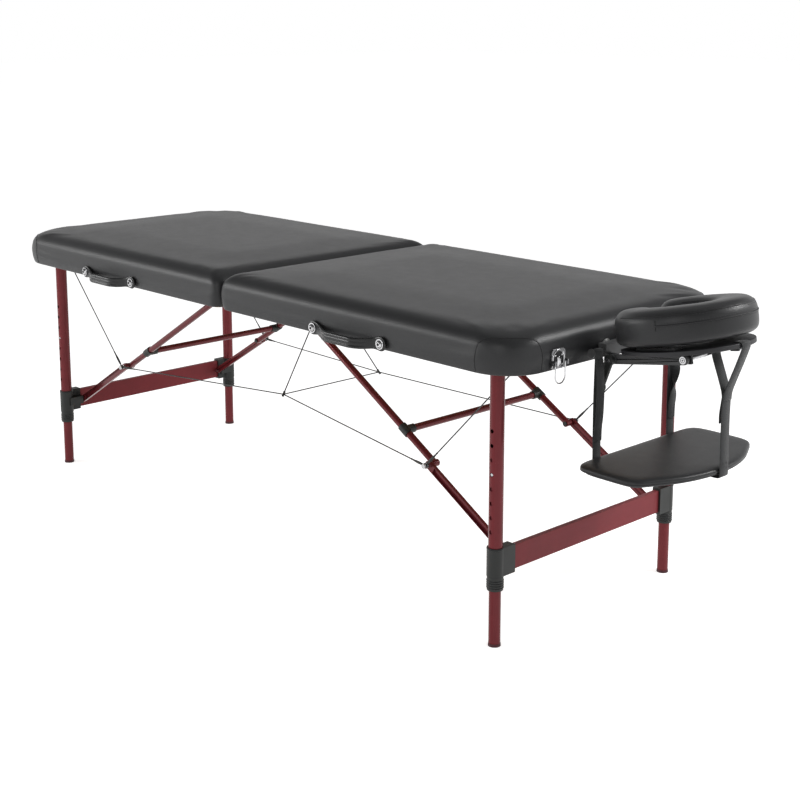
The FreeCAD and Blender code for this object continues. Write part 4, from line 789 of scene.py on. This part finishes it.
def build_cushion():
    cushion = piece("face_cushion", *cushion_mesh(), "vinyl")
    puff(cushion, on_base, CUSHION_PRESSURE, CUSHION_CAP)
    for vert in cushion.data.vertices:
        vert.co.z += noise.noise(vert.co * 24) * 0.6 * MM
    subdivide(cushion)
    upholster(cushion, "headrest_platform", "headrest_cushion")
    skin = surface_of(cushion)
    lines = [wall_line(SEAM_REACH, SEAM_RISE)]
    for angle in (-ZIP_REACH, ZIP_REACH):
        lines.append([round_ring(RING_OUT, math.radians(angle), CUSHION_LOW + rise * MM)
                      for rise in END_SEAM])
    inner_turns = [MOUTH * (2 * i / INNER_STEPS - 1) for i in range(INNER_STEPS + 1)]
    lines.append([round_ring(INNER_SEAM, turn, CUSHION_LOW + INNER_RISE) for turn in inner_turns])
    seams = [tube_parts(cling(skin, line), CUSHION_SEAM, 6) for line in lines]
    tape = tube_parts(cling(skin, wall_line(ZIP_REACH, ZIP_RISE), 0.2 * MM), ZIP_TAPE, 6)
    dashes = []
    for reach, steps, rises in STITCH_ROWS:
        for rise in rises:
            line = cling(skin, wall_line(reach, rise * MM, steps), STITCH_LIFT)
            dashes += stitch_parts(line, *CUSHION_STITCH)
    teeth = stitch_parts(cling(skin, wall_line(ZIP_REACH, ZIP_RISE, 400), 0.6 * MM), *ZIP_TOOTH)
    # The seam lines are darkened vinyl: painted shade of the seams
    trim("cushion_seams", seams, "vinyl", seam_shade_mat, "headrest_platform")
    trim("cushion_zip_tape", [tape], "webbing", shade_and_zip_tape_mat, "headrest_platform")
    trim("cushion_stitches", dashes, "vinyl", thread_mat, "headrest_platform")
    trim("cushion_zip_teeth", teeth, "vinyl", thread_mat, "headrest_platform")


build_cushion()


# Arm shelf: a padded board with a straight inner edge and a bowed front

shelf_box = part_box("arm_shelf")
SHELF_X = [corner.x for corner in shelf_box]
SHELF_Y, SHELF_LOW = shelf_box[1].y, shelf_box[0].z
SHELF_CORNER, SHELF_CORNER_X = 30 * MM, 1114 * MM
SHELF_STEP, SHELF_SMOOTHING = 8 * MM, 16
# Inset and height in millimetres, from the middle of the underside round the thin rim to the top
SHELF_ROWS = ((26, 0.3), (13, 0.1), (10.8, 0.8), (10.2, 2.6), (9.8, 4.8), (7, 6.3), (2.4, 7.1), (0.5, 8.8),
              (-0.2, 11.3), (0.2, 13.8), (1.6, 15.9), (4.2, 17.4), (8, 18.4), (14, 19), (24, 19.4))


def arc_points(centre, radius, start, end, count=10):
    turns = [math.radians(start + (end - start) * i / count) for i in range(count + 1)]
    return [Vector((centre[0] + radius * math.cos(t), centre[1] + radius * math.sin(t), 0)) for t in turns]


def shelf_outline():
    """Points round the board and their outward directions."""
    flat = SHELF_Y - SHELF_CORNER
    bulge = SHELF_X[1] - SHELF_CORNER_X
    bow = (flat * flat + bulge * bulge) / (2 * bulge)
    spread = math.degrees(math.asin(flat / bow))
    inner, outer = SHELF_X[0] + SHELF_CORNER, SHELF_CORNER_X - SHELF_CORNER

    def corner(x, y, start):
        return arc_points((x, y), SHELF_CORNER, start, start + 90)

    rough = corner(inner, -flat, 180) + corner(outer, -flat, 270)
    rough += arc_points((SHELF_X[1] - bow, 0), bow, -spread, spread, 24)[1:-1]
    rough += corner(outer, flat, 0) + corner(inner, flat, 90)
    even = []
    for a, b in zip(rough, rough[1:] + rough[:1]):
        parts = max(1, round((b - a).length / SHELF_STEP))
        even += [a.lerp(b, i / parts) for i in range(parts)]
    count = len(even)
    for _ in range(SHELF_SMOOTHING):
        even = [(even[i - 1] + 2 * even[i] + even[(i + 1) % count]) / 4 for i in range(count)]
    out = []
    for i in range(count):
        way = (even[(i + 1) % count] - even[i - 1]).normalized()
        out.append(Vector((way.y, -way.x, 0)))
    return even, out


def build_shelf():
    even, out = shelf_outline()
    rows = []
    for inset, rise in SHELF_ROWS:
        level = Vector((0, 0, SHELF_LOW + rise * MM))
        rows.append([point - way * (inset + noise.noise(point * 30) * 0.3) * MM + level
                     for point, way in zip(even, out)])
    shelf = subdivide(piece("arm_shelf_pad", *loft(rows), "vinyl"))
    upholster(shelf, "headrest_base", "arm_shelf")
    under_rim = Vector((0, 0, SHELF_LOW + 8 * MM))
    line = cling(surface_of(shelf), [point - way * 0.8 * MM + under_rim for point, way in zip(even, out)])
    # The welt under the rim is darkened vinyl: painted shade under the rim
    trim("arm_shelf_welt", [tube_parts(line, 1.3 * MM, shut=True)], "vinyl", seam_shade_mat, "headrest_base")


build_shelf()


# Webbing. Its paths are (x, y, z) in millimetres from a named place.

STRAP, FRONT_STRAP, THICK = 25 * MM, 29 * MM, 1.8 * MM
BAR_X, BAR_Z, BAR_WRAP = 944, 606, 6.6
SLING_Y = 122.5 * MM
SLING_X, SLING_SWAY, SLING_LOW = 950.8, -1.5, 392
SLING_UNDER = ((950.6, 0, 379), (954.5, 0, 374.5), (965, 0, 374.2), (986, 0, 374.2))
SLING_BACK = ((950.2, 0, 597), (954.5, 0, 575), (957.2, 0, 530), (956.2, 0, 480), (953.4, 0, 452),
              (952.8, 0, 425))
SLING_SEWN = ((953.9, 0, 437), (955.1, 0, 583))
STRAP_STITCH = (3 * MM, 2.2 * MM, 0.45 * MM)
FORK_Z = 545 * MM
# Front strap: up from under the shelf, the tail that hangs from the fork, and the fork's branches
FRONT_LOWER = ((-34, 0, 374.2), (-12, 0, 374.2), (-2.5, 0, 375.2), (0, 0, 379), (0.3, 0, 392), (-0.5, 0, 440),
               (-1.2, 0, 500))
FRONT_HANG = ((-2.4, 0, 2), (-5.5, 0, -20), (-9, 1, -44), (-9.5, 2, -62))
FORK_INNER = ((-1.2, 0, -16), (-3, 0, 2), (-11, 0, 26), (-21, 0, 52))
FORK_OUTER = ((0.8, 0, -16), (3, 0, 2), (14, 0, 32))
# Where the branches end in the board's leaning frame: at its underside, and round its lip to the top
BOARD_UNDER = (10, 10.2)
BOARD_LIP = ((79.4, 11), (79.2, 19.5), (76, 22.1), (70, 22.2), (61.5, 22.1))


def ribbon_parts(points, width, thick, turn=None):
    """Flat tape with round edges along points. Turn gives the twist in radians for a share of the run."""
    section = []
    for side in SIDES:
        section += [(side * (width / 2 - thick * 0.3), side * thick * 0.42), (0, side * thick / 2),
                    (-side * (width / 2 - thick * 0.3), side * thick * 0.42), (-side * width / 2, 0)]
    rows, uvs = [], []
    for share, point, way, run in walk(points):
        flat = Vector((0, 1, 0))
        flat = (flat - way * flat.dot(way)).normalized()
        if turn:
            flat = Matrix.Rotation(turn(share), 3, way) @ flat
        up = way.cross(flat)
        rows.append([point + flat * a + up * b for a, b in section])
        uvs += [(a + (width if b < 0 else 0.0), run) for a, b in section]
    return *loft(rows), uvs


def half_twist(share):
    return math.pi * ease(share, 0.15, 0.75)


def box_stitch(middle, tall, wide):
    """Sewn box with a cross in it, on an upright strap."""
    corners = [middle + Vector((0, across * wide / 2, up * tall / 2))
               for up, across in ((-1, -1), (1, -1), (1, 1), (-1, 1))]
    parts = []
    for a, b in ((0, 1), (1, 2), (2, 3), (3, 0), (0, 2), (1, 3)):
        line = smooth_path([corners[a], (corners[a] + corners[b]) / 2, corners[b]], 0.8 * MM)
        parts += stitch_parts(line, *STRAP_STITCH)
    return parts


def sling_path(base):
    """Round the bar, down the shelf's inner edge and in under the board."""
    turns = [math.radians(angle) for angle in range(300, -1, -30)]
    loop = [(BAR_X + BAR_WRAP * math.cos(t), 0, BAR_Z + BAR_WRAP * math.sin(t)) for t in turns]
    fall = [(SLING_X + SLING_SWAY * math.sin(math.pi * t), 0, BAR_Z - (BAR_Z - SLING_LOW) * t)
            for t in (0.12, 0.3, 0.5, 0.7, 0.88, 1.0)]
    return smooth_path(spots(base, *loop, *fall, *SLING_UNDER))


def build_slings():
    """Each sling has a second layer sewn to it, which is twisted on the far one."""
    for tag, side in (("near", -1), ("far", 1)):
        base = Vector((0, side * SLING_Y, 0))
        main = ribbon_parts(sling_path(base), STRAP, THICK)
        back = smooth_path(spots(base, *SLING_BACK))
        second = ribbon_parts(back, STRAP * 0.96, THICK * 0.9, turn=half_twist if side > 0 else None)
        sling = joined("shelf_sling_" + tag, [main, second], "webbing")
        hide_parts("shelf_straps")
        stitches = []
        for middle in spots(base, *SLING_SEWN):
            stitches += box_stitch(middle, 20 * MM, 18 * MM)
        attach(sling, "headrest_base")
        trim("shelf_sling_stitches_" + tag, stitches, "webbing", thread_mat, "headrest_base")


def build_front_strap():
    """From under the shelf up its front to a fork, then to the board's underside and its lip."""
    front = SHELF_X[1] + 1.4 * MM
    fork = Vector((front, 0, FORK_Z))
    under, *lip = [cradle(u * MM, 0, w * MM) for u, w in (BOARD_UNDER, *BOARD_LIP)]
    lower = spots(Vector((front, 0, 0)), *FRONT_LOWER) + [fork]
    layers = [ribbon_parts(smooth_path(lower), FRONT_STRAP, THICK),
              ribbon_parts(smooth_path(spots(fork, *FRONT_HANG)), STRAP * 0.9, THICK * 0.9)]
    strap = joined("front_strap_lower", layers, "webbing")
    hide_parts("front_strap")
    inner = spots(fork, *FORK_INNER) + spots(under, (3, 0, -16)) + [under]
    outer = spots(fork, *FORK_OUTER) + spots(lip[0], (-12, 0, -34)) + lip
    forked = [ribbon_parts(smooth_path(path), FRONT_STRAP, THICK) for path in (inner, outer)]
    branches = joined("front_strap_fork", forked, "webbing")
    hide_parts("front_strap")
    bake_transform(strap)
    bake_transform(branches)
    sewn = box_stitch(Vector((front + 1.1 * MM, 0, 398 * MM)), 12 * MM, 18 * MM)
    trim("front_strap_stitches", sewn, "webbing", thread_mat, "headrest_base")


build_slings()
build_front_strap()


# Stay cables: wire rope with eyes round the knee pins, black sleeves at the knees and crimped ends

KNEE, ANCHOR = Vector((0.59019, 0.248, 0.31583)), Vector((0.872, 0.248, 0.604))
NODE, EYE = Vector((0, 0.16, 0.34)), Vector((-0.02, 0, 0.578))
ROPE, KNEE_EYE = 1.5 * MM, 5.2 * MM
# From and to along a rope, in metres. A last value of zero or less is measured back from the rope's end.
ROPE_RUN, WEB_RUN = (6.2 * MM, -4 * MM), (0, -4 * MM)
SLEEVE_RUN, ANCHOR_CRIMP = (10 * MM, 52 * MM), (6 * MM, 22 * MM)
NODE_CRIMP, EYE_CRIMP = (-6 * MM, 8 * MM), (8 * MM, 24 * MM)
RUN_STEPS = 24


def flip(point, sign_x, sign_y):
    return Vector((point.x * sign_x, point.y * sign_y, point.z))


def straight(start, end, first, last):
    """Evenly spaced points between two places, from first to last metres along."""
    way = (end - start).normalized()
    if last <= 0:
        last += (end - start).length
    return [start + way * (first + (last - first) * i / RUN_STEPS) for i in range(RUN_STEPS + 1)]


def sleeve_size(share):
    """Radius of the moulded sleeve, which swells and tapers along its run."""
    return (1.9 + 1.1 * math.sin(math.pi * min(1.0, share * 1.15 + 0.12))) * MM


def slacken(obj, body):
    """A cable piece on a half's body, with a mesh of its own."""
    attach(obj, body)
    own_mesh(obj)


def build_stays():
    for half, sign in HALVES.items():
        ropes, sleeves, crimps = [], [], []
        for side in SIDES:
            knee, anchor, node = flip(KNEE, sign, side), flip(ANCHOR, sign, side), flip(NODE, sign, side)
            for end in (anchor, node):
                ropes.append(tube_parts(straight(knee, end, *ROPE_RUN), ROPE))
                sleeves.append(tube_parts(straight(knee, end, *SLEEVE_RUN), sleeve_size, 10))
            ropes.append(ring_parts(knee, KNEE_EYE, "Y", ROPE, 16))
            crimps.append(tube_parts(straight(anchor, knee, *ANCHOR_CRIMP), 2.4 * MM, 10))
        rope = joined(half + "_stay_ropes", ropes, "cable_steel")
        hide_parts(half + "_cables")
        for obj in (rope, joined(half + "_stay_sleeves", sleeves, "black_plastic"),
                    joined(half + "_stay_crimps", crimps, "zinc_steel")):
            slacken(obj, half + "_half")


def build_web():
    """The ropes that join the stays under the split and go up to the centre eye."""
    ropes, crimps = [], []
    for side in SIDES:
        node = flip(NODE, 1, side)
        ropes.append(tube_parts(straight(node, EYE, *WEB_RUN), ROPE))
        crimps.append(tube_parts(straight(node, EYE, *NODE_CRIMP), 2.9 * MM, 10))
        crimps.append(tube_parts(straight(EYE, node, *EYE_CRIMP), 2.3 * MM, 10))
    ropes.append(tube_parts(straight(flip(NODE, 1, -1), NODE, 0, 0), ROPE))
    rope = joined("centre_ropes", ropes, "cable_steel")
    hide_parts("center_cable")
    for obj in (rope, joined("centre_crimps", crimps, "black_plastic")):
        slacken(obj, "foot_half")


build_stays()
build_web()


# Carrying handles: a bowed grip with three ribs between two flat round ends

GRIP_MIDDLE, GRIP_SPAN = 463.5 * MM, 215 * MM
GRIP_BACK, GRIP_Z = -355.3 * MM, 597 * MM
LOBE, LOBE_THICK = 15.4 * MM, 6 * MM
GRIP_BOW, GRIP_DROP, GRIP_SWELL, GRIP_TALL = 25 * MM, 4.5 * MM, 1.6 * MM, 11.6 * MM
RIB_COUNT, RIB_DEPTH, RIB_START, RIB_FULL = 3, 0.42, 28 * MM, 45 * MM
SQUARENESS = 0.6
GRIP_STEPS = 120
WASHER, BOLT_HEAD = 2 * MM, 4 * MM
HANDLE_CROSS = ((1.5, 0, 1.5), (1.5, 0, -1.5))


def squared(value):
    """Sine or cosine of a circle turned into that of a rounded box."""
    return math.copysign(abs(value) ** SQUARENESS, value)


def grip_section(x, sign, count=64):
    """Closed section of the handle at a distance x from its middle."""
    inward = GRIP_SPAN / 2 - abs(x)
    bowed = ease(inward, 8 * MM, 75 * MM)
    ribbed = RIB_DEPTH * ease(inward, RIB_START, RIB_FULL)
    if inward < 0:
        tall = math.sqrt(max(LOBE ** 2 - inward ** 2, 1e-7))
    else:
        tall = LOBE - (LOBE - GRIP_TALL) * ease(inward, 0, 24 * MM)
    deep = LOBE_THICK / 2 + GRIP_SWELL * bowed
    middle_y = GRIP_BACK - LOBE_THICK / 2 - GRIP_BOW * bowed
    middle_z = GRIP_Z - GRIP_DROP * ease(inward, 4 * MM, 50 * MM)
    points = []
    for turn in circle(count):
        rise, reach = squared(math.sin(turn)), squared(math.cos(turn))
        if math.cos(turn) > 0.2 and abs(rise) < 0.67:
            reach -= ribbed * (0.5 - 0.5 * math.cos(rise * RIB_COUNT * math.pi))
        points.append(Vector((sign * (GRIP_MIDDLE + x), middle_y - deep * reach, middle_z + tall * rise)))
    return points


def build_handles():
    reach = GRIP_SPAN / 2 + LOBE - 0.2 * MM
    for half, sign in HALVES.items():
        rows = []
        for i in range(GRIP_STEPS + 1):
            share = i / GRIP_STEPS * 2 - 1
            rows.append(grip_section(reach * math.copysign(1 - (1 - abs(share)) ** 1.25, share), sign))
        grip = piece(half + "_grip", *loft(rows), "handle_plastic")
        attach(grip, half + "_half")
        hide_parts(half + "_handle")
        # Near-black rings and crosses at the washer faces and bolt heads: painted shade of the recesses
        recess_shades = []
        for end in SIDES:
            x = sign * (GRIP_MIDDLE + end * GRIP_SPAN / 2)
            face = Vector((x, GRIP_BACK - LOBE_THICK - WASHER, GRIP_Z))
            head = face - Vector((0, BOLT_HEAD, 0))
            recess_shades.append(ring_parts(face, 8 * MM, "Y", 0.7 * MM))
            recess_shades.append(ring_parts(head, 2.2 * MM, "Y", 0.9 * MM))
            recess_shades += cross_parts(head - Vector((0, 0.1 * MM, 0)), HANDLE_CROSS, 0.5 * MM)
        trim(half + "_grip_recesses", recess_shades, "black_steel", shade_and_zip_tape_mat, half + "_half")


build_handles()


# Leg fittings: grip ribs, the parting line of each collar as a near-black ring of painted shade, and the ring
# above the sleeve

LEG_X, LEG_Y = 829 * MM, 284 * MM
# Height, radius and thickness in millimetres
COLLAR_RIBS = [(z, 17.1, 1.1) for z in (126.5, 131.5, 136.5, 141.5)] + [(208.5, 17.7, 1.0)]
# Near-black ring where each collar parts: painted shade in the gap
COLLAR_GAP_SHADES = [(150.6, 17.2, 0.9)]


def leg_rings(sign, rows):
    """Rings round both legs of a half."""
    parts = []
    for side in SIDES:
        foot = Vector((sign * LEG_X, side * LEG_Y, 0))
        for z, radius, thick in rows:
            parts.append(ring_parts(foot + Vector((0, 0, z * MM)), radius * MM, "Z", thick * MM, 40))
    return parts


def build_collars():
    for half, sign in HALVES.items():
        ribs, gap_shades = leg_rings(sign, COLLAR_RIBS), leg_rings(sign, COLLAR_GAP_SHADES)
        trim(half + "_collar_ribs", ribs, "black_plastic", looks["handle_plastic"], half + "_legs")
        trim(half + "_collar_gaps", gap_shades, "black_plastic", shade_and_zip_tape_mat, half + "_legs")


build_collars()


# Bolt heads of the headrest: a near-black ring round each head and a near-black cross, painted shade of the recess
# in it

BOLT_CROSS = ((2, 0, 0.8), (-0.8, 0, 2))


def build_bolt_recesses():
    rows = (("headrest_axle", "headrest_arms", AXLE), ("headrest_tilt_bolts", "headrest_base", TILT_AXIS))
    for node, body, axis in rows:
        parts = []
        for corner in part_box(node):
            head = Vector((axis.x, corner.y, axis.z))
            parts.append(ring_parts(head, 4.6 * MM, "Y", 0.55 * MM))
            parts += cross_parts(head, BOLT_CROSS, 0.55 * MM)
        trim(node + "_recesses", parts, "black_steel", shade_and_zip_tape_mat, body)


build_bolt_recesses()


# Case latches: a pressed arch, a raised tongue and rivets on each plate, and painted shade on the panel inside the
# arch

LATCH_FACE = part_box("latch_plates")[0].x + 3 * MM
LATCH_Y, LATCH_LOW = 219 * MM, 587 * MM
# Half width, foot and spring of each arch, in millimetres over the plate's lower edge
LATCH_RIM, LATCH_PANEL, LATCH_TONGUE = (16.6, 2, 21), (14.2, 3, 21), (6, 4, 20)
RIM_WIRE, TONGUE_RISE, TONGUE_CHAMFER = 1.5 * MM, 3.6 * MM, 1.2 * MM
PANEL_RISE, PANEL_CHAMFER = 0.5 * MM, 0.3 * MM
RIVET, RIVET_RISE, RIVET_Y = 2.4 * MM, 1.5 * MM, 10.2 * MM
RIVET_HEIGHTS = (8, 27)


def arch_line(half_width, foot, spring):
    """Upright arch from its left foot over the top to its right foot, as (across, up) pairs."""
    turns = [math.pi * (1 - i / 20) for i in range(21)]
    arc = [(half_width * math.cos(t), spring + half_width * math.sin(t)) for t in turns]
    line = [(-half_width, foot)] + arc + [(half_width, foot)]
    return [(across * MM, LATCH_LOW + up * MM) for across, up in line]


def faced(rows):
    """Parts of a loft that faces along X."""
    verts, faces = loft(rows)
    return verts, faces, [(v.y, v.z) for v in verts]


def slab_parts(outline, middle_y, back, front, chamfer):
    """Plate with a chamfered front edge, from (across, up) pairs."""
    across = sum(p[0] for p in outline) / len(outline)
    up = sum(p[1] for p in outline) / len(outline)
    rows = []
    for x, inset in ((back, 0), (front - chamfer, 0), (front, chamfer)):
        row = []
        for y, z in outline:
            way = Vector((y - across, z - up))
            way *= max(0, way.length - inset) / max(way.length, 1e-9)
            row.append(Vector((x, middle_y + across + way.x, up + way.y)))
        rows.append(row)
    return faced(rows)


def dome_parts(middle, radius, height, count=20, steps=5):
    """Rivet head that stands out along X."""
    rows = []
    for step in range(steps):
        lean = math.pi / 2 * step / steps
        ring = radius * math.cos(lean)
        rows.append([middle + Vector((height * math.sin(lean), ring * math.cos(t), ring * math.sin(t)))
                     for t in circle(count)])
    return faced(rows)


def build_latch_details():
    bright, dark = [], []
    for side in SIDES:
        y = side * LATCH_Y
        rim = [Vector((LATCH_FACE, y + across, up)) for across, up in arch_line(*LATCH_RIM)]
        bright.append(tube_parts(rim, RIM_WIRE, 10))
        # The panel inside the rim is near-black: painted shade of the latch's hollow
        dark.append(slab_parts(arch_line(*LATCH_PANEL), y, LATCH_FACE - PANEL_RISE, LATCH_FACE + PANEL_RISE,
                               PANEL_CHAMFER))
        bright.append(slab_parts(arch_line(*LATCH_TONGUE), y, LATCH_FACE, LATCH_FACE + TONGUE_RISE,
                                 TONGUE_CHAMFER))
        for across in SIDES:
            for up in RIVET_HEIGHTS:
                rivet = Vector((LATCH_FACE + 0.3 * MM, y + across * RIVET_Y, LATCH_LOW + up * MM))
                bright.append(dome_parts(rivet, RIVET, RIVET_RISE))
    trim("latch_pressings", bright, "chrome", None, "head_half")
    trim("latch_hollow_shade", dark, "chrome", shade_and_zip_tape_mat, "head_half")


build_latch_details()


# Floor, light and camera

FLOOR_GREY, FLOOR_LIFT, FLOOR_REACH = 0.82, 0.66, 30.0
# Strength of the world on the object, and overhead in the backdrop. The backdrop dims from white
# to that between two heights, given as the upward share of the direction.
WORLD_FILL, CEILING = 0.42, 0.14
CEILING_START, CEILING_FULL = 0.1, 0.62
# Name, place, point that it is aimed at, width and height, and watts of each lamp
LAMPS = (
    ("overhead", (-0.2, 0.8, 3.0), (0, 0, 0.6), (3.0, 2.0), 6.5),
    ("front_left", (-2.4, -2.7, 1.3), (0.1, 0, 0.5), (2.4, 0.8), 46),
    ("right_strip", (2.3, 1.4, 1.85), (0.9, -0.2, 0.6), (0.9, 0.7), 40),
    ("front_strip", (1.9, -3.4, 2.2), (0.2, 0, 0.35), (0.22, 1.8), 16),
)
IMAGE_PIXELS, FOCAL_PIXELS, SENSOR = 800, 1426.7, 36.0
CAMERA_PLACE = (2.6722, -2.2909, 1.2698)
CAMERA_PITCH, CAMERA_TURN, FRAME_SHIFT = 10.692, 46.605, -0.15


def backdrop_share(tree):
    """1 on rays that show the backdrop: seen directly, mirrored or through glass."""
    path = add(tree, "LightPath")
    share = path.outputs["Is Camera Ray"]
    for name in ("Is Glossy Ray", "Is Transmission Ray"):
        share = combine(tree, "MAXIMUM", share, path.outputs[name])
    return share


def build_floor():
    mat = bpy.data.materials.new("floor_mat")
    mat.use_nodes = True
    tree = mat.node_tree
    tree.nodes.clear()
    matt = add(tree, "BsdfDiffuse", Color=(FLOOR_GREY, FLOOR_GREY, FLOOR_GREY, 1))
    lift = combine(tree, "MULTIPLY", backdrop_share(tree), FLOOR_LIFT)
    glow = add(tree, "Emission", Strength=lift)
    both = add(tree, "AddShader", matt.outputs[0], glow.outputs[0])
    add(tree, "OutputMaterial", Surface=both.outputs[0])
    corners = [(x * FLOOR_REACH, y * FLOOR_REACH, 0) for x, y in ((-1, -1), (1, -1), (1, 1), (-1, 1))]
    mesh = bpy.data.meshes.new("floor")
    mesh.from_pydata(corners, [], [(0, 1, 2, 3)])
    mesh.materials.append(mat)
    new_object("floor", mesh)


def build_world():
    """White all round up to a low height, with a dim ceiling over it."""
    world = bpy.data.worlds.new("studio")
    world.use_nodes = True
    tree = world.node_tree
    height = add(tree, "SeparateXYZ", add(tree, "TexCoord").outputs["Generated"])
    ceiling = add(tree, "MapRange", Value=height.outputs["Z"], From_Min=CEILING_START, From_Max=CEILING_FULL,
                  To_Min=1.0, To_Max=CEILING)
    ceiling.interpolation_type = "SMOOTHSTEP"
    level = add(tree, "MapRange", Value=backdrop_share(tree), To_Min=WORLD_FILL,
                To_Max=ceiling.outputs["Result"])
    back = tree.nodes["Background"]
    put(tree, back.inputs["Color"], (1, 1, 1, 1))
    put(tree, back.inputs["Strength"], level.outputs["Result"])
    bpy.context.scene.world = world


def build_lamp(name, place, aim, size, watts):
    data = bpy.data.lights.new(name, "AREA")
    data.shape = "RECTANGLE"
    data.size, data.size_y = size
    data.energy = watts
    obj = new_object(name, data)
    obj.location = place
    obj.rotation_euler = (Vector(aim) - Vector(place)).to_track_quat("-Z", "Y").to_euler()


def build_camera():
    data = bpy.data.cameras.new("camera")
    data.sensor_width = SENSOR
    data.lens = SENSOR * FOCAL_PIXELS / IMAGE_PIXELS
    data.shift_y = FRAME_SHIFT
    cam = new_object("camera", data)
    cam.location = CAMERA_PLACE
    cam.rotation_euler = (math.radians(90 - CAMERA_PITCH), 0, math.radians(CAMERA_TURN))
    bpy.context.scene.camera = cam


build_floor()
build_world()
build_camera()
for row in LAMPS:
    build_lamp(*row)
bpy.context.scene.view_settings.view_transform = "Standard"
